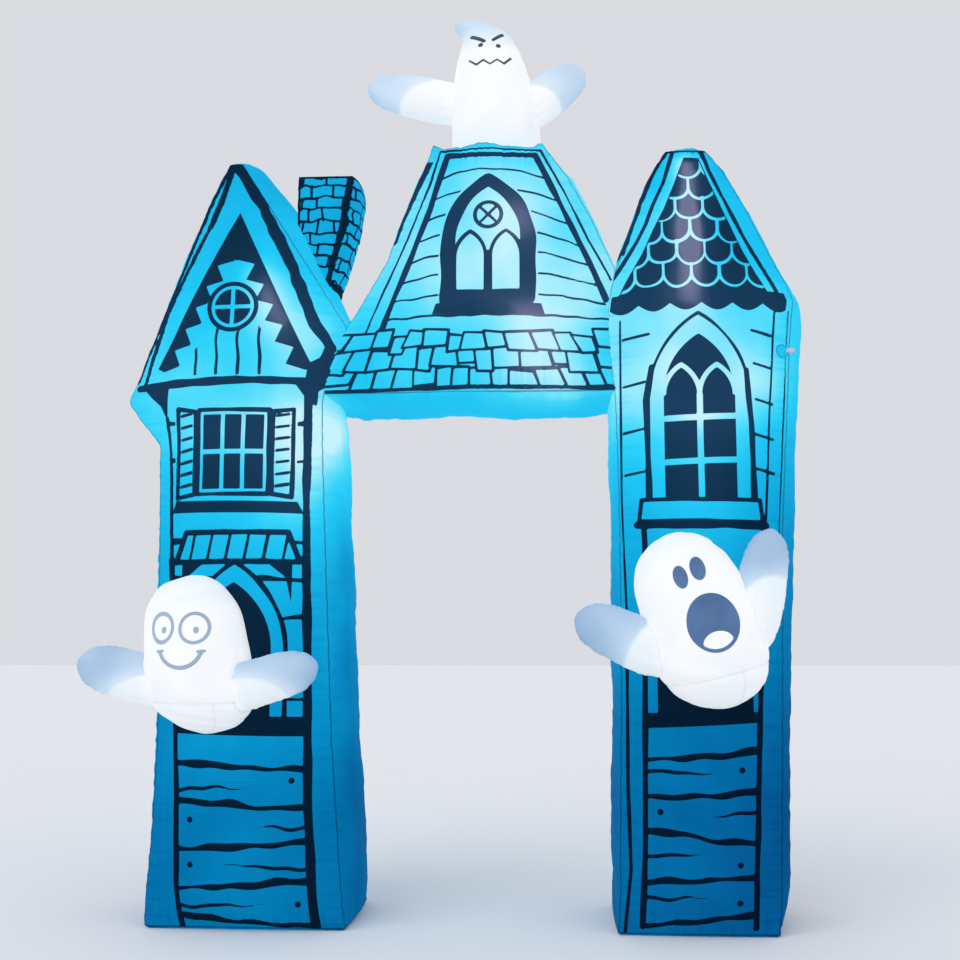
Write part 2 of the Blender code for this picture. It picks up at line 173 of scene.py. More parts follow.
# How bright the cloth is at each height: 0 is unlit dye and 1 is almost white.
LEFT_TOWER_LIT = [(0.0, 0.29), (0.35, 0.31), (0.65, 0.47), (1.0, 0.60), (1.3, 0.71), (1.55, 0.82),
                  (1.9, 0.79), (2.2, 0.72), (2.5, 0.60)]


def waves(along, size, seed):
    """Smooth wandering of about one unit along a line, with that typical wave length."""
    draw = np.random.default_rng(seed)
    total = np.zeros_like(along, dtype=float)
    for stretch in (1.0, 0.71, 1.43, 0.53, 2.1):
        total += np.sin(2 * math.pi * along / (size * stretch) + draw.uniform(0, 2 * math.pi))
    return total / 2.6


def ripples(x, z, size, seed):
    """The same over a sheet: slow humps with no one direction."""
    draw = np.random.default_rng(seed)
    total = np.zeros_like(x, dtype=float)
    for stretch in (1.0, 0.8, 1.3, 0.62, 1.7, 0.9):
        turn = draw.uniform(0, math.pi)
        total += np.sin(2 * math.pi * (x * math.cos(turn) + z * math.sin(turn)) / (size * stretch)
                        + draw.uniform(0, 2 * math.pi))
    return total / 3.0


def swell(share):
    """How far a panel stands out across its width: 0 at a seam, 1 between them."""
    return 1.0 - np.abs(2.0 * share - 1.0) ** 2.2


def bell(distance, reach):
    """1 at no distance, fading away past that reach."""
    return np.exp(-(distance / reach) ** 2)


def smoothed(values, steps):
    """Round the kinks of a table's straight runs with a bell of that many steps."""
    weights = np.exp(-0.5 * (np.arange(-3 * steps, 3 * steps + 1) / steps) ** 2)
    padded = np.concatenate([2 * values[0] - values[3 * steps:0:-1], values,
                             2 * values[-1] - values[-2:-3 * steps - 2:-1]])
    return np.convolve(padded, weights / weights.sum(), "valid")


class Outline:
    """A chamber's seams and bulges at any height, smoothed from its table of levels."""

    def __init__(self, levels, seed, crest=None):
        self.low, self.crest = levels[0].height, crest
        self.heights = np.arange(self.low, levels[-1].height + OUTLINE_STEP / 2, OUTLINE_STEP)
        self.high = self.heights[-1]
        rows = np.array(levels)
        self.columns = {
            name: smoothed(np.interp(self.heights, rows[:, 0], rows[:, index]), OUTLINE_ROUNDING)
            for index, name in enumerate(Level._fields) if index}
        fade = np.clip((self.heights - self.low) / WAVER_START, 0, 1)
        for side, name in ((-1, "left"), (1, "right")):
            slope = np.gradient(self.columns[name], OUTLINE_STEP)
            self.columns[name + "_out"] = side / np.hypot(1, slope)
            self.columns[name + "_up"] = -side * slope / np.hypot(1, slope)
            self.columns[name + "_cut"] = self.columns[name].copy()
            waver = 0.6 * waves(self.heights, 0.085, seed + side)
            waver += 0.4 * waves(self.heights, 0.031, seed + 5 + side)
            self.columns[name] += fade * SEAM_WAVER * waver

    def at(self, name, heights):
        """One of the table's columns at those heights."""
        return np.interp(heights, self.heights, self.columns[name])

    def front(self, x, z):
        """How far the smooth front or back panel stands from the middle, and the share across."""
        left, right = self.at("left", z), self.at("right", z)
        share = (x - left) / (right - left)
        return self.at("half_depth", z) + self.at("crown", z) * swell(np.clip(share, 0, 1)), share


def gathers(along, distance, seed):
    """Folds that run away from a seam, none at the seam itself and none far from it."""
    folds = np.clip(waves(along, GATHER_PITCH, seed) + 0.15, -0.2, 1.2)
    reach = GATHER_REACH * (1.0 + 0.5 * waves(along, 4 * GATHER_PITCH, seed + 1))
    reach = np.maximum(reach, 0.008)
    return SEAM_GATHER * folds * distance / reach * np.exp(1.0 - distance / reach)


def sheet_sink(x, z, edges, seed):
    """How far a panel sinks in: gathers by its seams and slow ripples between them.

    edges holds (place along the seam, distance from the seam) for each seam of the panel. The
    places are shifted from seam to seam, so that no two seams gather alike.
    """
    sink = np.zeros_like(x, dtype=float)
    nearest = np.full_like(x, 1.0, dtype=float)
    for number, (along, distance) in enumerate(edges):
        distance = np.maximum(distance, 0.0)
        sink += gathers(along, distance, seed + 10 * number)
        nearest = np.minimum(nearest, distance)
    slack = np.clip(nearest / SLACK_START, 0, 1)
    sink += PANEL_RIPPLE * slack * (ripples(x, z, 0.30, seed + 91) + 0.4 * ripples(x, z, 0.11, seed + 92))
    return sink, nearest


def face_points(outline, shares, heights, side, seed):
    """A front (side -1) or back (side 1) panel: points, distance from a seam, and sink."""
    share, z = np.meshgrid(shares, heights)
    left, right = outline.at("left", z), outline.at("right", z)
    x = left + (right - left) * share
    edges = [(z, (left - x) * outline.at("left_out", z)),
             (z + 7.0, (right - x) * outline.at("right_out", z)),
             (x, z - outline.low), (x + 3.0, outline.high - z)]
    sink, nearest = sheet_sink(x, z, edges, seed)
    out = outline.at("half_depth", z) + outline.at("crown", z) * swell(share) - sink
    if outline.crest is not None:
        z = z + outline.crest(share) * np.clip((z - outline.high) / CREST_REACH + 1, 0, 1) ** 2
    return np.stack([x, side * out, z], axis=-1), nearest, sink


def gusset_points(outline, shares, heights, name, seed):
    """The left or right run of the gusset strip, front seam at share 0 and back seam at 1."""
    share, z = np.meshgrid(shares, heights)
    half_depth = outline.at("half_depth", z)
    y = half_depth * (2 * share - 1)
    edges = [(z, y + half_depth), (z + 5.0, half_depth - y), (y, z - outline.low)]
    sink, nearest = sheet_sink(y, z, edges, seed)
    push = outline.at(name + "_bulge", z) * swell(share) - sink
    x = outline.at(name, z) + push * outline.at(name + "_out", z)
    up = push * outline.at(name + "_up", z)
    return np.stack([x, y, z + up], axis=-1), nearest, sink


def cap_points(front, back, left, right, rise, floor_height, seed):
    """A top or bottom panel stretched between four seams, without its rim."""
    u = np.linspace(0, 1, len(front))[1:-1, None, None]
    v = np.linspace(0, 1, len(left))[None, 1:-1, None]
    corners = (front[0] * (1 - u) * (1 - v) + front[-1] * u * (1 - v)
               + back[0] * (1 - u) * v + back[-1] * u * v)
    points = (front[1:-1, None] * (1 - v) + back[1:-1, None] * v
              + left[None, 1:-1] * (1 - u) + right[None, 1:-1] * u - corners)
    width = np.linalg.norm(front[-1] - front[0])
    depth = np.linalg.norm(left[-1] - left[0])
    u, v = u[..., 0] + 0 * v[..., 0], v[..., 0] + 0 * u[..., 0]
    edges = [(v * depth, u * width), (v * depth + 2, (1 - u) * width),
             (u * width, v * depth), (u * width + 4, (1 - v) * depth)]
    sink, nearest = sheet_sink(u * width, v * depth, edges, seed)
    points[..., 2] += rise * swell(u) * swell(v) - math.copysign(1.0, rise) * sink
    if floor_height is not None:
        points[..., 2] = floor_height
    return points, nearest, sink


def four_sided(*corners):
    """Faces from four equal grids of vertex numbers, one for each corner."""
    return np.stack([corner.ravel() for corner in corners], axis=1).tolist()


class Patchwork:
    """Sheets of points joined into one closed skin, with what the shader reads at each point."""

    def __init__(self):
        self.points, self.faces, self.count = [], [], 0
        self.fields = {"ink": [], "seam": [], "glow": []}

    def add(self, points, seam, sink, ink=None):
        """Add a grid of points and return their numbers in the same grid."""
        numbers = self.count + np.arange(seam.size).reshape(seam.shape)
        self.points.append(points.reshape(-1, 3))
        self.fields["seam"].append(seam.ravel())
        self.fields["glow"].append(FOLD_SHADE * sink.ravel())
        self.fields["ink"].append(np.full(seam.size, NO_INK) if ink is None else ink.ravel())
        self.count += seam.size
        return numbers

    def fill(self, grid):
        """Skin a grid of numbers with four-sided faces."""
        self.faces += four_sided(grid[:-1, :-1], grid[:-1, 1:], grid[1:, 1:], grid[1:, :-1])

    def zip(self, first, second):
        """Join two rows of numbers that run side by side with triangles, whatever their counts."""
        first, second = first.tolist(), second.tolist()
        last_i, last_j = len(first) - 1, len(second) - 1
        i = j = 0
        while i < last_i or j < last_j:
            if j == last_j or (i < last_i and (i + 1) * last_j <= (j + 1) * last_i):
                self.faces.append((first[i], first[i + 1], second[j]))
                i += 1
            else:
                self.faces.append((first[i], second[j + 1], second[j]))
                j += 1


def patches(points, lamps):
    """The sum of the bright patches that lamps make."""
    x, y, z = points.T
    total = np.zeros(len(points))
    for lamp in lamps:
        away = (x - lamp.x) ** 2 + (0.6 * (y - lamp.y)) ** 2 + (z - lamp.z) ** 2
        total += lamp.power * np.exp(-away / lamp.spread ** 2)
    return total


# How strongly a chamber's edges, and its gusset strips, are dimmed at each height.
EDGE_DIMNESS = [(0.6, 1.3), (1.6, 0.75)]
STRIP_DIMNESS = [(0.1, 0.5), (0.7, 1.15), (1.15, 1.0), (1.45, 0.0)]
FRONT_SEAM = -0.215      # where the strips begin,
STRIP_FADE = 0.12        # and how far back they are dimmed fully


def by_height(z, table):
    """A value at each height, from a table of heights and values."""
    return np.interp(z, *zip(*table))


def glow_at(points, lit, drop=(0.0, 0.0, 0.0)):
    """How brightly the lamps inside light the cloth, by height and then by the nearest lamps.

    drop is how much dimmer the chamber is by its left edge, by its right edge and on its strips.
    """
    x, y, z = points.T
    by_left, by_right, on_strips = drop
    share = (x - x.min()) / (x.max() - x.min())
    glow = by_height(z, lit)
    glow -= (by_left * (1 - share) ** 3 + by_right * share ** 3) * by_height(z, EDGE_DIMNESS)
    strip = np.clip((y - FRONT_SEAM) / STRIP_FADE, 0, 1)
    glow -= on_strips * strip * by_height(z, STRIP_DIMNESS)
    return glow + patches(points, LAMPS) + 0.02 * ripples(x, z, 0.5, 401)


def cloth_piece(name, points, faces, fields, material):
    """Make a smooth shaded piece of cloth that stands for the node of that name in the frame."""
    mesh = bpy.data.meshes.new(name + "_cloth")
    mesh.from_pydata((points + FOOTPRINT_SHIFT).tolist(), [], faces)
    for field, values in fields.items():
        mesh.attributes.new(field, "FLOAT", "POINT").data.foreach_set("value", values)
    mesh.validate()
    mesh.shade_smooth()
    mesh.materials.append(material)
    piece = link(bpy.data.objects.new(name + "_cloth", mesh))
    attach(piece, "root")
    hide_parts(name)
    return piece


def ink_of(draw_on, along, up, outline=None):
    """What a print leaves at each point of a panel."""
    pen = Print(along, up, outline)
    draw_on(pen)
    return pen.ink


def lid_rims(panels, across, plain, row):
    """The four seams round a chamber's top (row -1) or bottom (row 0).

    The front and back curves are those of the chamber's other end: with the corners taken off
    only their small bends count, and the ends of the strips give the lid its place.
    """
    front_points, back_points, left_points, right_points = panels
    other_row = -1 - row
    front = np.stack([np.interp(plain, across, front_points[other_row][:, axis])
                      for axis in range(3)], axis=-1)
    back = back_points[other_row]
    left, right = left_points[row].copy(), right_points[row].copy()
    left[0], left[-1] = front[0], back[0]
    right[0], right[-1] = front[-1], back[-1]
    return front, back, left, right


def chamber(name, outline, lids, front_print, lit, drop, seed, side_prints=None,
            steps=(FRONT_STEP, PLAIN_STEP)):
    """Sew a chamber's panels together into one piece, blown taut.

    lids holds how far the top and the bottom panel swell, and the height of a bottom that lies
    flat on the floor or None.
    """
    work = Patchwork()
    columns = outline.columns
    width = float(np.max(columns["right"] - columns["left"]))
    tall = outline.high - outline.low
    fine, coarse = (np.linspace(outline.low, outline.high, int(tall / step) + 1) for step in steps)
    across, plain = (np.linspace(0, 1, int(width / step) + 1) for step in steps)
    deep = np.linspace(0, 1, int(2 * columns["half_depth"].max() / steps[1]) + 1)

    front_points, seam, sink = face_points(outline, across, fine, -1, seed)
    front = work.add(front_points, seam, sink,
                     ink_of(front_print, front_points[..., 0], front_points[..., 2], outline))
    back_points, seam, sink = face_points(outline, plain, coarse, 1, seed + 200)
    back = work.add(back_points, seam, sink)
    strips, strip_points = [], []
    for number, side in enumerate(("left", "right")):
        points, seam, sink = gusset_points(outline, deep, coarse, side, seed + 300 + 50 * number)
        ink = None
        if side_prints and side in side_prints:
            ink = ink_of(side_prints[side], points[..., 1], points[..., 2], outline)[:, 1:-1]
        strips.append(work.add(points[:, 1:-1], seam[:, 1:-1], sink[:, 1:-1], ink))
        strip_points.append(points)
    left, right = strips

    for sheet in (front, back[:, ::-1], right, left[:, ::-1]):
        work.fill(sheet)
    for first, second in ((right[:, 0], front[:, -1]), (back[:, -1], right[:, -1]),
                          (front[:, 0], left[:, 0]), (left[:, -1], back[:, 0])):
        work.zip(first, second)

    rise, sag, floor_height = lids
    for row, height, lift, turn in ((-1, None, rise, 1), (0, floor_height, sag, -1)):
        rims = lid_rims((front_points, back_points, *strip_points), across, plain, row)
        points, seam, sink = cap_points(*rims, lift, height, seed + 700 + row)
        cap = work.add(points, seam, sink)
        work.fill(cap.T[:, ::turn])
        for rim, inner in (
                (front[row, :], cap[:, 0]),
                (np.concatenate([[front[row, -1]], right[row, :], [back[row, -1]]]), cap[-1, :]),
                (back[row, ::-1], cap[::-1, -1]),
                (np.concatenate([[back[row, 0]], left[row, ::-1], [front[row, 0]]]), cap[0, ::-1])):
            work.zip(rim[::turn], inner[::turn])

    points = np.concatenate(work.points)
    fields = {field: np.concatenate(values) for field, values in work.fields.items()}
    fields["glow"] += glow_at(points, lit, drop)
    shine = patches(points, SHINES)
    fields["shine"] = np.minimum(fields["glow"], PLAIN_INK_GLOW) + shine
    fields["glow"] += shine
    piece = cloth_piece(name, points, work.faces, fields, house_cloth)


ARCH_STEPS = 14


def arc(centre, radius, start, end, steps, squash=1.0):
    """Points of an arc from one angle to another, in degrees."""
    turns = np.radians(np.linspace(start, end, steps))
    return [(centre[0] + radius * math.cos(turn), centre[1] + radius * squash * math.sin(turn))
            for turn in turns]


def pointed_arch(left, right, foot, spring):
    """Outline of a pointed opening: straight sides up to the spring, then two arcs."""
    rising = arc((left, spring), right - left, 0, 60, ARCH_STEPS)
    falling = arc((right, spring), right - left, 120, 180, ARCH_STEPS)
    return [(left, foot), (right, foot)] + rising + falling[1:]


def box(left, right, low, high):
    """Outline of an upright rectangle."""
    return [(left, low), (right, low), (right, high), (left, high)]


class Print:
    """Line work on a panel, with painted shade laid in the same ink along some seams. ink holds each
    point's distance outside the ink, below 0 in it.
    """

    def __init__(self, x, z, outline):
        self.x, self.z, self.outline = x, z, outline
        self.ink = np.full(x.shape, NO_INK)
        self.hand = 0.5 + 0.5 * ripples(x, z, 0.16, 31)
        self.weight = 0.85 + 0.3 * self.hand

    def line_distance(self, points):
        """Distance from a line through those points, no two of which are the same."""
        nearest = np.full(self.x.shape, FAR)
        for (ax, az), (bx, bz) in zip(points, points[1:]):
            run_x, run_z = bx - ax, bz - az
            share = ((self.x - ax) * run_x + (self.z - az) * run_z) / (run_x ** 2 + run_z ** 2)
            share = np.clip(share, 0, 1)
            away = np.hypot(self.x - ax - share * run_x, self.z - az - share * run_z)
            nearest = np.minimum(nearest, away)
        return nearest

    def shape_distance(self, points):
        """Distance outside a closed outline, below 0 inside it."""
        closed = [*points, points[0]]
        away = self.line_distance(closed)
        inside = np.zeros(self.x.shape, dtype=bool)
        for (ax, az), (bx, bz) in zip(closed, closed[1:]):
            if az != bz:
                crosses = (az > self.z) != (bz > self.z)
                inside ^= crosses & (self.x < (bx - ax) * (self.z - az) / (bz - az) + ax)
        return np.where(inside, -away, away)

    def off(self, x, z, wide=1.0, tall=1.0):
        """Distance from a point, counted in widths and heights where they are given."""
        return np.hypot((self.x - x) / wide, (self.z - z) / tall)

    def oval(self, x, z, wide, tall):
        """About the distance outside an oval, below 0 inside it."""
        return (self.off(x, z, wide, tall) - 1) * min(wide, tall)

    def lay(self, distance, within=-FAR):
        """Print ink where the distance is below 0, and within another shape if one is given."""
        self.ink = np.minimum(self.ink, np.maximum(distance, within))

    def leave(self, distance, within=-FAR):
        """Leave the cloth bare where the distance is below 0, within another shape if given."""
        self.ink = np.maximum(self.ink, -np.maximum(distance, within))

    def line(self, points, width, within=-FAR):
        """A brush line whose width wanders a little."""
        self.lay(self.line_distance(points) - 0.5 * width * (0.82 + 0.36 * self.hand), within)

    def bare_line(self, points, width):
        """A line of bare cloth through the ink."""
        self.leave(self.line_distance(points) - 0.5 * width)

    def fill(self, points):
        """Solid ink inside a closed outline."""
        self.lay(self.shape_distance(points))

    def frame(self, points, width, clear=None):
        """A line round a closed outline, on bare cloth that reaches that far out if clear is given."""
        away = self.shape_distance(points)
        if clear is not None:
            self.leave(away - clear)
        self.lay(np.abs(away) - 0.5 * width * self.weight)

    def edge(self, side):
        """Distance in from the left (-1) or right (1) seam, square to the seam."""
        name = "left" if side < 0 else "right"
        gap = (self.x - self.outline.at(name + "_cut", self.z)) * -side
        return gap * np.abs(self.outline.at(name + "_out", self.z))


def rail_at(rail, height):
    """Where a rail drawn from the top down stands at a height."""
    return np.interp(height, [z for x, z in reversed(rail)], [x for x, z in reversed(rail)])


def boards(pen, left_rail, right_rail, joints, seed, width=0.012, marked=True):
    """Weatherboards between two rails: leaning joints and, if marked, a few cracks and nails."""
    draw = np.random.default_rng(seed)
    left, right = rail_at(left_rail, pen.z), rail_at(right_rail, pen.z)
    within = np.maximum(left - pen.x, pen.x - right)
    share = (pen.x - left) / (right - left)
    for height in joints:
        if marked:
            tilt = draw.uniform(0.012, 0.038) * draw.choice((-1, 1))
        else:
            tilt = draw.uniform(-0.014, 0.014)
        run = pen.z - height - tilt * (share - 0.5)
        run -= 0.004 * waves(pen.x, 0.23, seed + int(1000 * height))
        heavy = 0.55 + 0.9 * pen.hand + (0.5 * share if tilt > 0 else 0.5 - 0.5 * share)
        pen.lay(np.abs(run) - 0.5 * width * heavy, within)
    for low, high in zip(joints, joints[1:] if marked else []):
        from_left = draw.uniform() < 0.5
        length, tilt = draw.uniform(0.40, 0.72), draw.uniform(-0.030, 0.030)
        along = share if from_left else 1 - share
        height = low + draw.uniform(0.40, 0.62) * (high - low)
        run = pen.z - height - tilt * (along - 0.4)
        run -= 0.005 * waves(pen.x, 0.17, seed + int(997 * low))
        pen.lay(np.abs(run) - 0.0058 * np.clip(1.6 * (1 - along / length), -1, 1), within)
        near, far = float(rail_at(left_rail, low)), float(rail_at(right_rail, low))
        for nail, drawn in ((near + 0.045, not from_left), (far - 0.050, from_left)):
            if drawn:
                height = 0.5 * (low + high) + draw.uniform(-0.02, 0.02)
                pen.lay(pen.off(nail, height) - 0.0095)


def saw_trim(pen, left_foot, right_foot, apex):
    """Bands up a roof's two slopes with saw teeth inward; returns how far inward points lie."""
    sides = []
    for foot, side in ((left_foot, 1), (right_foot, -1)):
        length = math.dist(foot, apex)
        run = ((apex[0] - foot[0]) / length, (apex[1] - foot[1]) / length)
        across, up = pen.x - foot[0], pen.z - foot[1]
        sides.append((across * run[0] + up * run[1], side * (across * run[1] - up * run[0])))
    inward = np.minimum(sides[0][1], sides[1][1])
    for along, depth in sides:
        step = along / 0.078
        tooth = 0.046 * (1 - np.abs(2 * (step - np.floor(step)) - 1))
        pen.lay((depth - 0.012 - tooth) / 1.5, np.maximum(-0.014 - inward, -along))
    return inward


def left_tower_print(pen):
    """A gable with saw-toothed boards and a round light, shutters, a hood, a doorway and boards."""
    # Painted shade: a dark band along the gable's left seam, wider towards the top, laid in the ink.
    shade_band_width = by_height(pen.z, [(1.72, 0.008), (2.10, 0.012), (2.30, 0.016)])
    pen.lay(pen.edge(-1) - shade_band_width - 0.0012 * waves(pen.z, 0.06, 71), 1.72 - pen.z)
    pen.line([(-1.100, 1.700), (-1.080, 1.789), (-1.030, 1.966), (-0.970, 2.102), (-0.889, 2.268)], 0.016)
    pen.line([(-0.896, 2.252), (-0.862, 2.350), (-0.841, 2.440)], 0.025)
    rake = pen.line_distance([(-0.806, 2.455), (-0.724, 2.320), (-0.619, 2.111), (-0.536, 1.908),
                              (-0.486, 1.836)])
    pen.lay(rake - 0.0185 - 0.0025 * waves(pen.z, 0.11, 72))
    pen.fill([(-0.868, 2.420), (-0.850, 2.520), (-0.800, 2.520), (-0.775, 2.410), (-0.824, 2.452)])
    inward = saw_trim(pen, (-1.040, 1.760), (-0.555, 1.762), (-0.795, 2.262))
    pen.fill([(-0.838, 2.165), (-0.795, 2.255), (-0.752, 2.165), (-0.795, 2.120)])
    for batten in np.arange(-0.985, -0.66, 0.070):
        line = np.abs(pen.x - batten - 0.004 * waves(pen.z, 0.2, 77)) - 0.0052 * pen.weight
        pen.lay(line, np.maximum(0.080 - inward, 1.735 - pen.z))
    light = (-0.800, 1.962)
    away = pen.off(*light)
    pen.leave(away - 0.086)
    pen.lay(np.abs(away - 0.078) - 0.0075)
    pen.lay(away - 0.060)
    pen.bare_line([(light[0], light[1] - 0.060), (light[0], light[1] + 0.060)], 0.013)
    pen.bare_line([(light[0] - 0.060, light[1]), (light[0] + 0.060, light[1])], 0.013)
    pen.line([(-1.118, 1.706), (-0.80, 1.716), (-0.500, 1.722)], 0.026)
    pen.fill([(-1.100, 1.702), (-1.006, 1.706), (-1.012, 1.592), (-1.034, 1.640), (-1.066, 1.668)])
    pen.fill([(-0.470, 1.728), (-0.600, 1.716), (-0.560, 1.660), (-0.530, 1.640), (-0.526, 1.690)])
    pen.fill([(-0.478, 1.728), (-0.478, 1.846), (-0.502, 1.842), (-0.520, 1.800), (-0.556, 1.778),
              (-0.566, 1.722)])

    left_rail = [(-1.012, 1.600), (-0.998, 1.434), (-0.988, 1.143), (-0.961, 0.702), (-0.944, 0.395),
                 (-0.938, 0.153), (-0.923, 0.000)]
    right_rail = [(-0.556, 1.700), (-0.556, 1.397), (-0.551, 1.141), (-0.544, 0.889), (-0.540, 0.703),
                  (-0.531, 0.398), (-0.514, 0.099), (-0.504, 0.000)]
    pen.line(left_rail[:3], 0.012)
    pen.line(left_rail[2:], 0.019)
    pen.line(right_rail, 0.026)
    boards(pen, left_rail, right_rail, [0.71, 0.83, 0.96, 1.08, 1.20, 1.46, 1.58], 12, marked=False)

    window = box(-0.900, -0.672, 1.350, 1.622)
    shutters = [[(-0.972, 1.340), (-0.911, 1.350), (-0.911, 1.617), (-0.972, 1.627)],
                [(-0.661, 1.350), (-0.598, 1.340), (-0.598, 1.627), (-0.661, 1.617)]]
    for outline in [window] + shutters:
        pen.leave(pen.shape_distance(outline) - 0.012)
    for outline in [window] + shutters:
        pen.frame(outline, 0.014)
    pen.fill(box(-0.884, -0.688, 1.366, 1.606))
    for bar in (-0.819, -0.753):
        pen.bare_line([(bar, 1.366), (bar, 1.606)], 0.013)
    pen.bare_line([(-0.884, 1.486), (-0.688, 1.486)], 0.015)
    for (left, _), (right, _), *_ in shutters:
        for slat in np.arange(1.376, 1.61, 0.038):
            pen.line([(left + 0.014, slat), (right - 0.014, slat + 0.006)], 0.010)
    pen.fill([(-0.990, 1.292), (-0.562, 1.288), (-0.580, 1.326), (-0.976, 1.330)])

    hood = [(-0.970, 1.135), (-0.570, 1.135), (-0.606, 1.228), (-0.936, 1.228)]
    pen.frame(hood, 0.018, 0.006)
    for tile in np.arange(-0.92, -0.60, 0.060):
        pen.line([(tile, 1.145), (tile + 0.014, 1.220)], 0.010)
    for side in (-1, 1):
        foot = -0.770 + side * 0.178
        pen.fill([(foot, 1.130), (foot - side * 0.075, 1.130), (foot - side * 0.018, 1.085), (foot, 1.000)])
    pen.frame(pointed_arch(-0.934, -0.606, 0.640, 0.850), 0.015, 0.008)
    pen.fill(pointed_arch(-0.893, -0.650, 0.640, 0.860))
    pen.fill([(-0.960, 0.600), (-0.535, 0.592), (-0.535, 0.652), (-0.958, 0.660)])
    boards(pen, left_rail, right_rail, [0.030, 0.145, 0.262, 0.385, 0.500], 5, 0.015)


THREAD_EDGE = (0.0042, 0.0004)   # distances from a seam where its thread's shade starts and is full
INK_EDGE = (0.0006, -0.0006)     # distances outside the ink where its edge starts and is full
FINE_WEAVE = 420.0
# Colours of the cloth, of its seams and of its ink: in even light, at two shades of the mottling,
HOUSE_DYES = (
    [(0.3, (0.001, 0.060, 0.18)), (0.7, (0.001, 0.070, 0.21))],
    [(0.3, (0.001, 0.022, 0.07)), (0.7, (0.001, 0.03, 0.09))],
    [(0.3, (0.001, 0.005, 0.014)), (0.7, (0.002, 0.007, 0.019))],
)
# and of the lamps' light that comes through them, from the dimmest place to the brightest.
HOUSE_LIGHTS = (
    [(0.0, (0.000, 0.001, 0.010)), (0.15, (0.000, 0.050, 0.130)), (0.30, (0.000, 0.130, 0.260)),
     (0.45, (0.001, 0.220, 0.410)), (0.60, (0.006, 0.380, 0.600)), (0.75, (0.016, 0.530, 0.750)),
     (0.82, (0.045, 0.620, 0.780)), (0.88, (0.130, 0.690, 0.790)), (0.94, (0.300, 0.770, 0.800)),
     (1.0, (0.560, 0.850, 0.810))],
    [(0.0, (0.000, 0.001, 0.006)), (0.45, (0.000, 0.060, 0.150)), (1.0, (0.050, 0.300, 0.400))],
    [(0.0, (0.000, 0.000, 0.001)), (0.55, (0.001, 0.011, 0.026)), (0.76, (0.005, 0.030, 0.066)),
     (0.90, (0.010, 0.042, 0.095)), (0.95, (0.032, 0.070, 0.135)), (1.0, (0.155, 0.172, 0.300))],
)


def node_of(tree, kind, sockets, **settings):
    """Add a shader node with its own settings; a socket takes a value or another node's output."""
    node = tree.nodes.new(kind)
    for name, value in settings.items():
        setattr(node, name, value)
    for socket, value in sockets.items():
        if isinstance(value, bpy.types.NodeSocket):
            tree.links.new(value, node.inputs[socket])
        else:
            node.inputs[socket].default_value = value
    return node


def step_node(tree, value, edge):
    """A sharp step from 0 at one value to 1 at the other."""
    off, full = edge
    node = node_of(tree, "ShaderNodeMapRange", {"Value": value, "From Min": off, "From Max": full})
    return node.outputs["Result"]


def ramp_node(tree, value, stops):
    """Colours at positions along a value."""
    node = node_of(tree, "ShaderNodeValToRGB", {"Fac": value})
    elements = node.color_ramp.elements
    while len(elements) < len(stops):
        elements.new(0.5)
    for element, (position, colour) in zip(elements, stops):
        element.position = position
        element.color = (*colour, 1.0)
    return node.outputs["Color"]


def mix_node(tree, factor, first, second):
    """One colour where the factor is 0 and another where it is 1."""
    node = node_of(tree, "ShaderNodeMix", {"Factor": factor, 6: first, 7: second}, data_type="RGBA")
    return node.outputs[2]


def bump_node(tree, height, strength, distance, under=None):
    """The surface's slope under a texture's heights, over another relief if one is given."""
    node = node_of(tree, "ShaderNodeBump", {"Height": height, "Strength": strength, "Distance": distance})
    if under is not None:
        tree.links.new(under, node.inputs["Normal"])
    return node.outputs["Normal"]


def lit_material(name, dyes, lights, ink_light, mottle_scale, creases, sockets):
    """Woven, coated cloth with lamps behind it: mottled colours and fine weave over creases.

    ink_light is the field that says how bright the ink is.
    """
    material = plain_material(name, {**sockets, "Emission Strength": 1.0})
    tree = material.node_tree
    shader = tree.nodes["Principled BSDF"]
    field = {key: node_of(tree, "ShaderNodeAttribute", {}, attribute_name=key).outputs["Fac"]
             for key in dict.fromkeys(("glow", "ink", "seam", ink_light))}
    place = node_of(tree, "ShaderNodeTexCoord", {}).outputs["Object"]
    inked = step_node(tree, field["ink"], INK_EDGE)
    stitched = step_node(tree, field["seam"], THREAD_EDGE)

    def printed(values, ramps):
        """The colour at each place, from a ramp for the cloth, one for thread and one for ink."""
        cloth, thread, mark = (ramp_node(tree, value, stops) for value, stops in zip(values, ramps))
        return mix_node(tree, inked, mix_node(tree, stitched, cloth, thread), mark)

    mottle = node_of(tree, "ShaderNodeTexNoise", {"Vector": place, "Scale": mottle_scale, "Detail": 4.0})
    mottle = mottle.outputs["Fac"]
    tree.links.new(printed((mottle, mottle, mottle), dyes), shader.inputs["Base Color"])
    lit = printed((field["glow"], field["glow"], field[ink_light]), lights)
    tree.links.new(lit, shader.inputs["Emission Color"])
    warp, weft = (
        node_of(tree, "ShaderNodeTexWave", {"Vector": place, "Scale": FINE_WEAVE},
                wave_type="BANDS", bands_direction=direction).outputs["Fac"]
        for direction in ("Z", "X"))
    weave = node_of(tree, "ShaderNodeMath", {0: warp, 1: weft}, operation="MULTIPLY").outputs["Value"]
    crumple = node_of(tree, "ShaderNodeTexNoise", {"Vector": place, "Scale": 24.0, "Detail": 5.0})
    crumple = bump_node(tree, crumple.outputs["Fac"], creases, 0.004)
    tree.links.new(bump_node(tree, weave, 0.12, 0.0004, crumple), shader.inputs["Normal"])
    return material


house_cloth = lit_material("printed_house_cloth", HOUSE_DYES, HOUSE_LIGHTS, "shine", 7.0, 0.25,
                           {"Roughness": 0.55, "Specular IOR Level": 0.002})
left_outline = Outline(LEFT_TOWER, 3)
chamber("left_tower", left_outline, (LEFT_TOWER_RISE, TOWER_FOOT_SAG, 0.0), left_tower_print,
        LEFT_TOWER_LIT, (0.06, 0.04, 0.10), 1000)

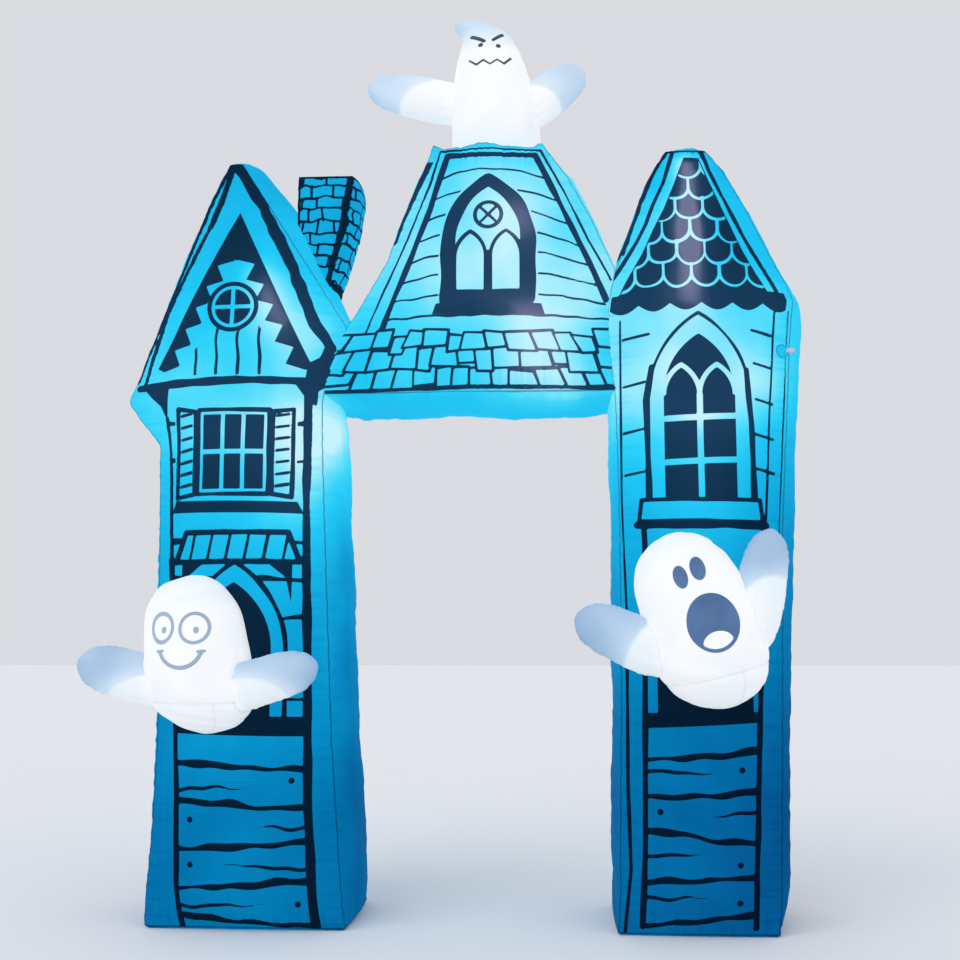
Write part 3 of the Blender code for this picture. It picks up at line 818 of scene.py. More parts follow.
# ---------------------------------------------------------------- centre house
# The chamber that bridges the gateway: sewn between the towers, with a sagging underside and a
# flat top that its front panel's hem stands above, in front of the ghost that is sewn on there.
CENTRE_HOUSE = [Level(*row) for row in (
    (1.685, -0.530, 0.450, 0.215, 0.000, 0.000, 0.000),
    (1.725, -0.520, 0.446, 0.215, 0.034, 0.000, 0.000),
    (1.805, -0.494, 0.430, 0.215, 0.062, 0.000, 0.000),
    (1.900, -0.440, 0.424, 0.215, 0.076, 0.006, 0.000),
    (1.997, -0.379, 0.424, 0.215, 0.080, 0.022, 0.000),
    (2.083, -0.331, 0.442, 0.214, 0.080, 0.028, 0.010),
    (2.131, -0.304, 0.420, 0.212, 0.078, 0.030, 0.026),
    (2.267, -0.259, 0.361, 0.208, 0.066, 0.030, 0.032),
    (2.403, -0.206, 0.290, 0.203, 0.042, 0.028, 0.034),
    (2.475, -0.173, 0.238, 0.200, 0.020, 0.022, 0.026),
    (2.515, -0.158, 0.206, 0.197, 0.000, 0.008, 0.010)
)]
CENTRE_HOUSE_RISE = 0.055
CENTRE_HOUSE_SAG = 0.036
CENTRE_HOUSE_LIT = [(1.62, 0.64), (1.66, 0.74), (1.70, 0.80), (1.80, 0.81), (1.93, 0.86), (2.05, 0.92),
                    (2.40, 0.91), (2.53, 0.80)]


def centre_house_crest(across):
    """Hem of the top: an ear at each corner and a hump in the middle."""
    ears = 0.012 * (bell(across, 0.06) + bell(1 - across, 0.06))
    return ears + 0.020 * bell(across - 0.46, 0.17) + 0.002 * waves(across, 0.13, 55)


def centre_house_print(pen):
    """Siding in a heavy border, a pointed window, and three courses of shingles by the gateway."""
    panel = [(-0.110, 2.486), (-0.163, 2.293), (-0.218, 2.140), (-0.273, 2.000), (-0.333, 1.841),
             (-0.360, 1.760), (0.470, 1.760), (0.450, 1.880), (0.408, 1.985), (0.182, 2.482)]
    border = pen.line_distance(panel[4::-1] + panel[:-3:-1])
    pen.lay(border - 0.0100 * pen.weight)
    pen.line([(-0.375, 1.868), (-0.309, 2.029), (-0.238, 2.193), (-0.166, 2.383), (-0.134, 2.505),
                  (0.027, 2.511), (0.200, 2.500), (0.277, 2.348), (0.354, 2.180), (0.425, 2.049)], 0.0080)
    # Painted shade: a dark band along the left seam between the eave and the ear, wider towards the top,
    # laid in the ink.
    shade_band_width = by_height(pen.z, [(2.16, 0.008), (2.30, 0.014), (2.42, 0.020)])
    shade_band_width = shade_band_width + 0.0012 * waves(pen.z, 0.07, 73)
    pen.lay(pen.edge(-1) - shade_band_width, np.maximum(2.18 - pen.z, pen.z - 2.468))
    siding = pen.shape_distance(panel) + 0.006
    for number, height in enumerate(np.arange(1.920, 2.45, 0.0725)):
        bow = 2.0 * (height - 1.90) * (pen.x - 0.03) ** 2
        run = pen.z - height + bow - 0.0022 * waves(pen.x, 0.14, 60 + number)
        pen.lay(np.abs(run) - 0.0036 * pen.weight, siding)

    pen.frame(pointed_arch(-0.100, 0.160, 1.975, 2.160), 0.046, 0.030)
    for light in (pointed_arch(-0.078, 0.022, 1.997, 2.115), pointed_arch(0.038, 0.138, 1.997, 2.115)):
        pen.frame(light, 0.013)
    pen.line([(0.030, 1.985), (0.030, 2.128)], 0.0165)
    light = (0.030, 2.258)
    pen.lay(np.abs(pen.off(*light) - 0.043) - 0.0065)
    for spoke_end in arc(light, 0.043, 45, 315, 4):
        pen.line([light, spoke_end], 0.009)
    pen.fill([(-0.150, 1.925), (0.212, 1.922), (0.200, 1.957), (-0.138, 1.960)])

    draw = np.random.default_rng(8)
    for low, high in ((1.700, 1.764), (1.757, 1.824), (1.815, 1.872)):
        x, lean = -0.50 + draw.uniform(0, 0.04), -0.030
        while x < 0.40:
            after = x + draw.uniform(0.045, 0.092)
            next_lean = 0.075 * (after + 0.02) + draw.uniform(-0.013, 0.013)
            rise, tilt = draw.uniform(-0.017, 0.013), draw.uniform(-0.007, 0.007)
            tile = [(x + lean, low + rise), (after + next_lean, low + rise + tilt),
                    (after, high + rise - tilt), (x, high + rise)]
            pen.frame(tile, 0.0085, 0.0)
            x, lean = after, next_lean
    low_edge = np.interp(pen.x, (-0.53, -0.30, -0.03, 0.28, 0.45), (1.688, 1.693, 1.700, 1.696, 1.688))
    below = pen.z - low_edge
    pen.leave(below)
    pen.lay(np.abs(below) - 0.0062 * pen.weight)


centre_outline = Outline(CENTRE_HOUSE, 13, centre_house_crest)
chamber("centre_house", centre_outline, (CENTRE_HOUSE_RISE, -CENTRE_HOUSE_SAG, None), centre_house_print,
        CENTRE_HOUSE_LIT, (0.10, 0.04, 0.0), 2000)

# ---------------------------------------------------------------- right tower
# The right chamber: a leg that widens to its eave and a steep rounded roof, sewn as the left one
# is. Its roof is printed with fish-scale shingles over a scalloped eave.
RIGHT_TOWER = [Level(*row) for row in (
    (0.008, 0.420, 0.908, 0.214, 0.006, 0.004, 0.010),
    (0.049, 0.424, 0.911, 0.216, 0.036, 0.008, 0.036),
    (0.130, 0.428, 0.915, 0.216, 0.060, 0.012, 0.054),
    (0.282, 0.430, 0.920, 0.215, 0.072, 0.016, 0.056),
    (0.705, 0.439, 0.935, 0.215, 0.076, 0.018, 0.054),
    (1.235, 0.442, 0.951, 0.215, 0.076, 0.018, 0.066),
    (1.515, 0.438, 0.970, 0.215, 0.076, 0.018, 0.062),
    (1.682, 0.433, 0.982, 0.215, 0.078, 0.010, 0.065),
    (1.805, 0.418, 0.989, 0.215, 0.080, 0.000, 0.067),
    (1.925, 0.412, 1.000, 0.215, 0.080, 0.000, 0.062),
    (1.971, 0.418, 1.008, 0.215, 0.078, 0.000, 0.050),
    (2.035, 0.430, 0.980, 0.214, 0.074, 0.002, 0.043),
    (2.083, 0.442, 0.956, 0.212, 0.070, 0.008, 0.041),
    (2.175, 0.476, 0.914, 0.209, 0.060, 0.014, 0.042),
    (2.315, 0.526, 0.848, 0.204, 0.044, 0.016, 0.042),
    (2.425, 0.573, 0.792, 0.196, 0.026, 0.018, 0.036),
    (2.493, 0.613, 0.740, 0.182, 0.006, 0.020, 0.034)
)]
RIGHT_TOWER_RISE = 0.045
RIGHT_TOWER_LIT = [(0.0, 0.21), (0.35, 0.21), (0.6, 0.30), (0.8, 0.41), (1.05, 0.52), (1.26, 0.61),
                   (1.45, 0.73), (1.58, 0.83), (1.70, 0.90), (1.95, 0.89), (2.1, 0.79), (2.3, 0.74),
                   (2.5, 0.60)]
SCALE_WIDTH = 0.088
SCALE_HEIGHT = 0.076


def fish_scales(pen, within, foot, rows, middle):
    """Leave the outlines of staggered round-ended shingles bare in an inked roof."""
    nearest = np.full(pen.x.shape, FAR)
    radius = SCALE_WIDTH / 2
    for row in range(rows):
        low = foot + row * SCALE_HEIGHT + 0.004 * waves(pen.x, 0.21, 300 + row)
        across = (pen.x - middle) / SCALE_WIDTH + 0.5 * (row % 2)
        across = (across - np.floor(across) - 0.5) * SCALE_WIDTH
        up = pen.z - low - radius
        arc_line = np.abs(np.hypot(across, up) - radius)
        side_line = np.where(pen.z < low + SCALE_HEIGHT + 0.004, radius - np.abs(across), FAR)
        nearest = np.minimum(nearest, np.where(up < 0, arc_line, side_line))
    pen.leave(nearest - 0.0042 * (0.8 + 0.5 * pen.hand), within)


def right_tower_print(pen):
    """A shingled roof over a scalloped eave, a tall window with tracery, a hollow and boards."""
    top = pen.outline.high - pen.z
    pen.lay(pen.edge(-1) - 0.0095 - 0.0015 * waves(pen.z, 0.07, 74), 2.13 - pen.z)
    pen.lay(top - 0.006)
    pen.line([(0.434, 2.053), (0.470, 2.105), (0.510, 2.169), (0.540, 2.228), (0.562, 2.288),
              (0.600, 2.372), (0.634, 2.483)], 0.013)
    pen.line([(0.729, 2.482), (0.749, 2.408), (0.782, 2.327), (0.821, 2.241), (0.861, 2.158),
              (0.901, 2.083), (0.950, 1.992)], 0.014)
    slate = pen.shape_distance([
        (0.669, 2.461), (0.632, 2.360), (0.597, 2.274), (0.563, 2.208), (0.526, 2.127), (0.472, 2.034),
        (0.447, 1.985), (0.921, 1.985), (0.884, 2.050), (0.844, 2.132), (0.812, 2.208), (0.782, 2.278),
        (0.747, 2.366), (0.716, 2.461)])
    pen.lay(slate)
    fish_scales(pen, slate + 0.004, 2.004, 7, 0.678)
    eave_drop = 0.024 * np.abs(np.sin(math.pi * (pen.x - 0.412) / 0.098))
    eave = np.maximum(1.948 - eave_drop - pen.z, pen.z - 1.990)
    pen.lay(eave, np.maximum(0.006 - pen.edge(-1), 0.022 - pen.edge(1)))

    outer_rail = [(0.452, 1.905), (0.450, 1.328), (0.460, 0.970), (0.456, 0.451), (0.461, 0.199),
                  (0.440, 0.000)]
    left_rail = [(0.516, 1.235), (0.518, 1.183), (0.504, 0.260), (0.493, 0.030)]
    right_rail = [(0.888, 1.243), (0.861, 0.708), (0.836, 0.177), (0.833, 0.030)]
    pen.line(outer_rail[:3], 0.0070)
    pen.line(outer_rail[2:], 0.0115)
    pen.line(left_rail, 0.017)
    pen.line(right_rail, 0.017)
    pen.line([(0.940, 1.925), (0.918, 1.639), (0.894, 1.245)], 0.0070)
    pen.lay(np.abs(pen.edge(1) - 0.012) - 0.0026 * pen.weight, np.maximum(1.10 - pen.z, pen.z - 1.935))
    for height, start in ((1.852, 0.862), (1.745, 0.866), (1.632, 0.872), (1.520, 0.868), (1.412, 0.866)):
        pen.line([(start, height + 0.008), (0.925, height - 0.006)], 0.009)
    for height, stop in ((1.842, 0.540), (1.690, 0.524), (1.540, 0.520), (1.405, 0.526)):
        pen.line([(0.462, height), (stop, height + 0.010)], 0.009)

    opening = pointed_arch(0.583, 0.805, 1.322, 1.655)
    pen.frame(pointed_arch(0.536, 0.852, 1.322, 1.640), 0.010, 0.006)
    pen.line([(0.534, 1.326), (0.529, 1.640), (0.548, 1.745)], 0.021)
    pen.line([(0.842, 1.730), (0.855, 1.560), (0.860, 1.330)], 0.018)
    pen.fill(opening)
    for bar in ([(0.694, 1.33), (0.694, 1.652)], [(0.59, 1.440), (0.80, 1.446)],
                [(0.59, 1.578), (0.80, 1.584)]):
        pen.bare_line(bar, 0.019)
    head = np.maximum(pen.shape_distance(opening), 1.652 - pen.z)
    for light in (pointed_arch(0.583, 0.694, 1.60, 1.652), pointed_arch(0.694, 0.805, 1.60, 1.652)):
        pen.leave(np.abs(pen.shape_distance(light)) - 0.0075, head)
    pen.frame([(0.502, 1.258), (0.884, 1.252), (0.876, 1.320), (0.510, 1.324)], 0.013, 0.006)
    pen.line([(0.496, 1.246), (0.892, 1.240)], 0.024)

    pen.fill(pointed_arch(0.548, 0.838, 0.655, 0.84))
    pen.fill([(0.516, 0.622), (0.860, 0.640), (0.862, 0.672), (0.516, 0.668)])
    boards(pen, left_rail, right_rail, [0.052, 0.175, 0.300, 0.425, 0.540], 41, 0.014)


def right_tower_wrap(pen):
    """The roof's dark outline carried round its left seam."""
    pen.lay(pen.x + pen.outline.at("half_depth", pen.z) - 0.085, 2.13 - pen.z)


right_outline = Outline(RIGHT_TOWER, 23)
chamber("right_tower", right_outline, (RIGHT_TOWER_RISE, TOWER_FOOT_SAG, 0.0), right_tower_print,
        RIGHT_TOWER_LIT, (0.0, 0.19, 0.04), 3000, {"left": right_tower_wrap})

# ---------------------------------------------------------------- chimney
# A small chamber sewn to the left tower's roof through its foot, with a seam round its flat top.
# It is printed with bricks on its front and on its right side, which turns towards the gateway.
CHIMNEY = [Level(*row) for row in (
    (2.025, -0.628, -0.535, 0.104, 0.004, 0.004, 0.010),
    (2.125, -0.628, -0.508, 0.110, 0.014, 0.008, 0.022),
    (2.285, -0.629, -0.470, 0.115, 0.020, 0.010, 0.034),
    (2.415, -0.630, -0.451, 0.116, 0.016, 0.008, 0.036),
    (2.462, -0.629, -0.446, 0.112, 0.000, 0.000, 0.020)
)]
CHIMNEY_RISE = 0.016
CHIMNEY_LIT = [(2.0, 0.60), (2.5, 0.57)]
BRICK_COURSE = 0.043
BRICK_FOOT = 2.015         # just below the chamber, so that the foot shows no whole mortar line
CHIMNEY_STEPS = (0.0040, 0.0050)   # its meshes are finer, for the bricks


def bricks(pen, start, stop, brick_length, seed):
    """Mortar lines of a running bond, drawn by hand: uneven courses and leaning joints."""
    draw = np.random.default_rng(seed)
    within = np.maximum(start - pen.x, pen.x - stop)
    low, number = BRICK_FOOT, 0
    while low < CHIMNEY[-1].height:
        high = low + BRICK_COURSE * draw.uniform(0.80, 1.20)
        bend = 0.0042 * waves(pen.x, 0.11, seed + 3 * number)
        pen.lay(np.abs(pen.z - low - bend) - 0.0040 * (0.8 + 0.4 * pen.hand), within)
        joint = start + brick_length * (0.5 * (number % 2) + draw.uniform(0.2, 0.5))
        while joint < stop:
            lean = draw.uniform(-0.009, 0.009)
            pen.line([(joint, low), (joint + lean, high)], 0.0085, within)
            joint += brick_length * draw.uniform(0.65, 1.40)
        low, number = high, number + 1


def chimney_print(pen):
    """Bricks between dark corners, and a dark foot where the roof meets it."""
    bricks(pen, -0.640, -0.40, 0.068, 90)
    pen.lay(pen.edge(1) - 0.015)
    pen.lay(pen.edge(-1) - 0.009)
    pen.lay(pen.outline.high - pen.z - 0.008)
    pen.lay(pen.z - 2.076, -0.545 - pen.x)


def chimney_side_print(pen):
    """The same bricks carried round to the right side."""
    bricks(pen, -0.13, 0.13, 0.060, 95)
    pen.lay(0.104 - np.abs(pen.x))
    pen.lay(pen.outline.high - pen.z - 0.008)
    pen.lay(pen.z - 2.095)


chamber("chimney", Outline(CHIMNEY, 33), (CHIMNEY_RISE, 0.002, None), chimney_print,
        CHIMNEY_LIT, (0.0, 0.05, 0.0), 4000, {"right": chimney_side_print}, CHIMNEY_STEPS)

# ---------------------------------------------------------------- smiling ghost
# The first of three ghosts: white ripstop sewn as a front and a back half with a round foot, its
# own lamp in its lower body, and two stuffed-looking arms that share its air. It is tacked to
# the left tower's front, so its back lies flat against that panel.
GHOST_PLANE = -0.330
GHOST_STEPS_ROUND = 200
GHOST_STEPS_UP = 108
ARM_STEPS_ROUND = 88
ARM_STEPS_ALONG = 92
SEWN_GAP = 0.0003        # between a ghost and what it is sewn to
SIDE_PUCKER = 0.0016     # depths of the puckers: down the side seams,
FOOT_PUCKER = 0.0030     # round the foot's seam,
GORE_PUCKER = 0.0015     # on the foot's gores,
ARMHOLE_PUCKER = 0.0034  # in the body round an arm's root,
ROOT_PUCKER = 0.0024     # on the arm by its root,
EDGE_PUCKER = 0.0010     # on its edge,
TIP_PUCKER = 0.0018      # and more of that towards the tip
POOL_EDGE = 0.016        # width of the edge of the light on an arm

Girth = namedtuple("Girth", "height shift half_width half_depth")
SMILING_GHOST = [Girth(*row) for row in (
    (0.000, 0.019, 0.026, 0.020),
    (0.018, 0.022, 0.082, 0.062),
    (0.049, 0.013, 0.127, 0.096),
    (0.079, 0.002, 0.152, 0.113),
    (0.122, -0.008, 0.165, 0.124),
    (0.202, -0.017, 0.168, 0.130),
    (0.287, -0.025, 0.159, 0.128),
    (0.373, -0.037, 0.145, 0.116),
    (0.419, -0.041, 0.122, 0.097),
    (0.456, -0.040, 0.086, 0.068),
    (0.479, -0.030, 0.034, 0.028)
)]

# Share of the arm's length, and share of its width and depth there.
ARM = [(0.00, 0.70), (0.06, 0.86), (0.25, 1.00), (0.50, 0.98), (0.70, 0.92), (0.84, 0.79), (0.94, 0.56),
       (1.00, 0.22), (1.012, 0.02)]
# root and tip are (x, z); forward is how far its root bulges round to the body's front; the lit
# pool is where the body's lamp reaches the arm's cloth.
Arm = namedtuple("Arm", "side root tip depth half_width half_depth forward pool pool_wide pool_tall")
# How light a ghost's cloth is: its arms' tips, what spills past the lit pool, the pool itself,
# and how much darker its crown is than its belly.
GhostLight = namedtuple("GhostLight", "arm_tip arm_spill arm_pool crown_loss")


def smooth_step(share):
    """Ease from 0 to 1."""
    return share * share * (3 - 2 * share)


def eased(table, steps):
    """Rows of a table joined by a smooth curve that passes through each of them."""
    rows = np.array(table, dtype=float)
    rows = np.vstack([2 * rows[0] - rows[1], rows, 2 * rows[-1] - rows[-2]])
    place = np.linspace(0, len(table) - 1 - 1e-9, steps)
    index = place.astype(int) + 1
    t = (place - place.astype(int))[:, None]
    before, here, after, later = (rows[index + offset] for offset in (-1, 0, 1, 2))
    return 0.5 * (2 * here + (after - before) * t + (2 * before - 5 * here + 4 * after - later) * t ** 2
                  + (3 * here - before - 3 * after + later) * t ** 3)


def evened(rows, steps, wide):
    """The same curve with its rows an even distance apart, by its first column and its wide one."""
    run = np.hypot(np.diff(rows[:, 0]), np.diff(rows[:, wide]))
    along = np.concatenate([[0], np.cumsum(run)])
    even = np.linspace(0, along[-1], steps)
    return np.stack([np.interp(even, along, column) for column in rows.T], axis=1)


def closed_loft(grid):
    """Faces of rings of points, with a fan at each end round a pole; poles are the last two."""
    rings, around = grid.shape[:2]
    numbers = np.arange(rings * around).reshape(rings, around)
    after = np.roll(numbers, -1, axis=1)
    faces = four_sided(numbers[:-1], after[:-1], after[1:], numbers[1:])
    low, high = rings * around, rings * around + 1
    faces += [(low, b, a) for a, b in zip(numbers[0].tolist(), after[0].tolist())]
    faces += [(high, a, b) for a, b in zip(numbers[-1].tolist(), after[-1].tolist())]
    points = np.vstack([grid.reshape(-1, 3), grid[0].mean(axis=0), grid[-1].mean(axis=0)])
    return points, faces


def blown_loft(name, rings, fields, material):
    """Close rings of cloth into an air-filled piece; a pole takes its ring's mean of each field."""
    points, faces = closed_loft(rings)
    fields = {field: np.append(values.ravel(), (values[0].mean(), values[-1].mean()))
              for field, values in fields.items()}
    piece = cloth_piece(name, points, faces, fields, material)


def turns(steps):
    """Angles all round, as one row."""
    return 2 * math.pi * np.arange(steps)[None, :] / steps


class Ghost:
    """A ghost's body: smooth girths up its height, set in its place and leant over."""

    def __init__(self, name, girths, place, lean, arms, light, closed_foot=True):
        self.name, self.place, self.arms, self.light = name, np.array(place), arms, light
        self.tall = girths[-1].height
        self.cos, self.sin = math.cos(math.radians(lean)), math.sin(math.radians(lean))
        crown = Girth(self.tall + 0.004, girths[-1].shift, 0.004, 0.004)
        foot = Girth(girths[0].height - 0.002, girths[0].shift, 0.004, 0.004)
        table = ([foot] if closed_foot else []) + girths + [crown]
        self.rows = evened(eased(table, 900), GHOST_STEPS_UP, 2)
        self.by_height = self.rows[np.argsort(self.rows[:, 0])].T

    def to_world(self, points):
        """From the ghost's own upright axes to the drawing's axes."""
        x, y, z = np.moveaxis(points, -1, 0)
        return np.stack([x * self.cos + z * self.sin, y, z * self.cos - x * self.sin], axis=-1) + self.place

    def outside(self, points):
        """About how far points in the drawing's axes lie outside the body's side."""
        x, y, z = np.moveaxis(points - self.place, -1, 0)
        x, z = x * self.cos - z * self.sin, x * self.sin + z * self.cos
        shift, wide, deep = (np.interp(z, self.by_height[0], column) for column in self.by_height[1:])
        round_share = np.hypot((x - shift) / np.maximum(wide, 0.01), y / np.maximum(deep, 0.01)) - 1
        beyond = np.maximum(np.maximum(z - self.tall, -z), 0.0)
        return np.hypot(round_share * np.minimum(wide, deep), beyond) * np.sign(round_share + 1e-9)


def arm_axes(arm):
    """An arm's root and length, and the directions along it and across it."""
    root = np.array((arm.root[0], arm.depth, arm.root[1]))
    run = np.array((arm.tip[0] - arm.root[0], 0.0, arm.tip[1] - arm.root[1]))
    length = np.linalg.norm(run)
    return root, length, run / length, np.array((-run[2], 0.0, run[0])) / length


def bulge_forward(arm, along, length):
    """How far an arm's middle line stands forward of its tip's at a place along it."""
    rise = np.clip(along / (0.26 * length), 0, 1)
    fall = np.clip((along / length - 0.26) / 0.54, 0, 1)
    return arm.forward * rise * (2 - rise) * (1 - smooth_step(fall))


def pressed_on(points, outline):
    """Flatten what would reach into a tower against that tower's front panel."""
    x, y, z = np.moveaxis(points, -1, 0)
    out, share = outline.front(x, z)
    covered = (share > 0) & (share < 1)
    return np.stack([x, np.where(covered, np.minimum(y, -out - SEWN_GAP), y), z], axis=-1)


def ghost_body(ghost, draw_face, foot_seam, seat, material, seed):
    """Blow up a ghost's body: rings with seams, puckers by its arms and a printed face."""
    height, shift, wide, deep = (column[:, None] for column in ghost.rows.T)
    turn = turns(GHOST_STEPS_ROUND) + 0 * height
    up = height + 0 * turn
    around = turn * np.maximum(wide, deep)
    x = shift + wide * np.cos(turn)
    y = deep * np.sin(turn)
    from_side = np.abs(np.sin(turn)) * wide
    seam = np.minimum(from_side, NO_INK)
    sink = SIDE_PUCKER * bell(from_side, 0.010) * (1.2 + waves(up, 0.026, seed))
    if foot_seam is not None:
        from_foot = up - foot_seam - 0.008 * np.sin(turn)
        sink += FOOT_PUCKER * bell(from_foot, 0.011) * (1.0 + 0.8 * waves(around, 0.030, seed + 1))
        gore = np.abs(np.sin(turn + 1.15)) * wide + FAR * (from_foot > 0)
        sink += GORE_PUCKER * bell(gore, 0.009)
        seam = np.minimum(np.minimum(seam, np.abs(from_foot)), gore)
    sink += 0.0022 * ripples(around, up, 0.17, seed + 2) * np.clip(wide / 0.06, 0, 1)
    world = ghost.to_world(np.stack([x, y, up], axis=-1))
    for number, arm in enumerate(ghost.arms):
        root, length, along_axis, side_axis = arm_axes(arm)
        away = world - root
        along, side = away @ along_axis, away @ side_axis
        depth = away[..., 1] + bulge_forward(arm, along, length)
        beside = (np.hypot(side / arm.half_width, depth / arm.half_depth) - 1) * arm.half_depth
        on_side = along > 0.01
        seam = np.minimum(seam, np.where(on_side, np.abs(beside), FAR))
        angle = np.arctan2(depth / arm.half_depth, side / arm.half_width)
        folds = 1.0 + 0.8 * waves(angle * arm.half_width, 0.062, seed + 20 + number)
        reach = np.where(beside > 0, np.exp(-beside / 0.030), np.exp(beside / 0.012))
        sink += np.where(on_side, ARMHOLE_PUCKER * reach * folds, 0.0)
    shrink = 1 - sink / np.maximum(np.hypot(x - shift, y), 0.02)
    local = np.stack([shift + (x - shift) * shrink, y * shrink, up], axis=-1)

    crown = smooth_step(np.clip((up / ghost.tall - 0.70) / 0.26, 0, 1))
    glow = 1.0 - 0.12 * np.clip((0.20 - up) / 0.20, 0, 1) - ghost.light.crown_loss * crown
    fields = {"ink": np.where(y < -0.2 * deep, ink_of(draw_face, x, up), NO_INK), "seam": seam,
              "glow": glow + 0.03 * ripples(around, up, 0.16, seed + 7)}
    blown_loft(ghost.name, seat(ghost.to_world(local)), fields, material)


def ghost_arm(ghost, arm, seat, material, seed):
    """Blow up an arm: two flat halves seamed round their edge, gathered at the root and tip."""
    root, length, along_axis, side_axis = arm_axes(arm)
    curve = eased(ARM, 700) * (length, arm.half_width)
    along, wide = (column[:, None] for column in evened(curve, ARM_STEPS_ALONG, 1).T)
    turn = turns(ARM_STEPS_ROUND)
    along = along + 0 * turn
    side = wide * np.cos(turn)
    depth = wide * arm.half_depth / arm.half_width * np.sin(turn)
    middle = root + along[..., None] * along_axis
    middle[..., 1] -= bulge_forward(arm, along, length)

    def skin(shrink):
        """The arm's surface with its section shrunk by that share."""
        points = middle + (side * shrink)[..., None] * side_axis
        points[..., 1] += depth * shrink
        return points

    edge = np.abs(np.sin(turn)) * wide
    sink = EDGE_PUCKER * bell(edge, 0.014) * (1.0 + 1.2 * waves(along, 0.034, seed))
    toward_tip = np.clip((along / length - 0.55) / 0.45, 0, 1)
    sink += TIP_PUCKER * toward_tip * bell(edge, 0.030) * (0.4 + waves(along, 0.036, seed + 1))
    sink += 0.0012 * ripples(along, turn * arm.half_width, 0.10, seed + 2)
    from_body = np.maximum(ghost.outside(skin(1.0)), 0)
    folds = waves(turn * arm.half_width + 0 * along, 0.052, seed + 3)
    sink += ROOT_PUCKER * np.exp(-from_body / 0.030) * (0.9 + folds)
    points = skin(np.clip(1 - sink / np.maximum(np.hypot(side, depth), 0.012), 0.5, 1.1))

    x, z = points[..., 0], points[..., 2]
    pool = np.hypot((x - arm.pool[0]) / arm.pool_wide, (z - arm.pool[1]) / arm.pool_tall)
    lit = smooth_step(np.clip(0.5 - (pool - 1) * 0.5 * (arm.pool_wide + arm.pool_tall) / POOL_EDGE, 0, 1))
    shade = ghost.light.arm_tip + ghost.light.arm_spill * np.exp(-np.maximum(pool - 1, 0) / 0.35)
    shade += 0.05 * ripples(x, z, 0.2, seed)
    glow = shade + (ghost.light.arm_pool + 0.10 * np.exp(-from_body / 0.025) - shade) * lit
    fields = {"ink": np.full(glow.shape, NO_INK), "seam": np.minimum(edge, NO_INK)[:, ::-1],
              "glow": glow[:, ::-1]}
    blown_loft(f"{ghost.name}_arm_{arm.side}", seat(points)[:, ::-1], fields, material)


def sew_ghost(ghost, draw_face, foot_seam, seat, material, seed):
    """Make a ghost's body and both its arms, each pressed on what carries it."""
    ghost_body(ghost, draw_face, foot_seam, seat, material, seed)
    for number, arm in enumerate(ghost.arms):
        ghost_arm(ghost, arm, seat, material, seed + 100 + 50 * number)


def ghost_cloth_of(name, mark_dark, mark_lit):
    """White ripstop lit from inside: pale blue where its lamp doesn't reach, and face marks."""
    dyes = (
        [(0.3, (0.37, 0.43, 0.48)), (0.7, (0.40, 0.46, 0.50))],
        [(0.3, (0.31, 0.37, 0.43)), (0.7, (0.34, 0.40, 0.45))],
        [(0.35, mark_dark), (0.65, mark_lit)],
    )
    lights = (
        [(0.0, (0.00, 0.03, 0.12)), (0.30, (0.00, 0.10, 0.25)), (0.52, (0.25, 0.33, 0.43)),
         (0.75, (0.39, 0.44, 0.46)), (1.0, (0.59, 0.55, 0.52))],
        [(0.0, (0.0, 0.02, 0.08)), (0.5, (0.15, 0.22, 0.32)), (1.0, (0.50, 0.49, 0.50))],
        [(0.0, (0.0, 0.0, 0.0)), (1.0, tuple(0.45 * channel for channel in mark_lit))],
    )
    return lit_material(name, dyes, lights, "glow", 9.0, 0.20, {
        "Roughness": 0.58, "Sheen Weight": 0.10, "Sheen Roughness": 0.5, "Specular IOR Level": 0.25})


def smiling_face(pen):
    """Two round open eyes and a wide smile."""
    for eye, wide, tall in ((-0.097, 0.034, 0.043), (0.004, 0.043, 0.044)):
        pen.lay(np.abs(pen.oval(eye, 0.318, wide, tall)) - 0.0052)
        pen.lay(pen.off(eye + 0.006, 0.312, 0.9, 1.1) - 0.0095)
    smile = arc((-0.036, 0.262), 0.066, 195, 345, 20, 0.95)
    pen.line(smile, 0.0125)
    for x, z in (smile[0], smile[-1]):
        pen.line([(x - 0.010, z + 0.002), (x + 0.010, z + 0.004)], 0.009)


smiling_ghost = Ghost("smiling_ghost", SMILING_GHOST, (-0.850, GHOST_PLANE, 0.607), 0.0, [
    Arm("left", (-0.960, 0.750), (-1.244, 0.822), GHOST_PLANE, 0.080, 0.052, 0.0,
        (-0.960, 0.690), 0.190, 0.098),
    Arm("right", (-0.760, 0.732), (-0.496, 0.814), GHOST_PLANE, 0.074, 0.050, 0.060,
        (-0.690, 0.668), 0.130, 0.108),
], GhostLight(0.29, 0.34, 0.85, 0.10))
sew_ghost(smiling_ghost, smiling_face, 0.100, lambda points: pressed_on(points, left_outline),
          ghost_cloth_of("smiling_ghost_cloth", (0.20, 0.27, 0.36), (0.26, 0.34, 0.44)), 6000)

# ---------------------------------------------------------------- shouting ghost
# The second ghost, sewn as the first one is, leans to its right on the right tower's front with
# one arm thrown up.
SHOUTING_GHOST = [Girth(*row) for row in (
    (0.000, 0.014, 0.028, 0.022),
    (0.017, 0.015, 0.079, 0.058),
    (0.051, 0.011, 0.126, 0.092),
    (0.100, 0.003, 0.157, 0.116),
    (0.180, -0.002, 0.182, 0.130),
    (0.260, 0.000, 0.182, 0.132),
    (0.350, -0.010, 0.168, 0.126),
    (0.430, -0.020, 0.150, 0.110),
    (0.485, -0.022, 0.120, 0.086),
    (0.522, -0.022, 0.080, 0.058),
    (0.542, -0.020, 0.030, 0.022)
)]


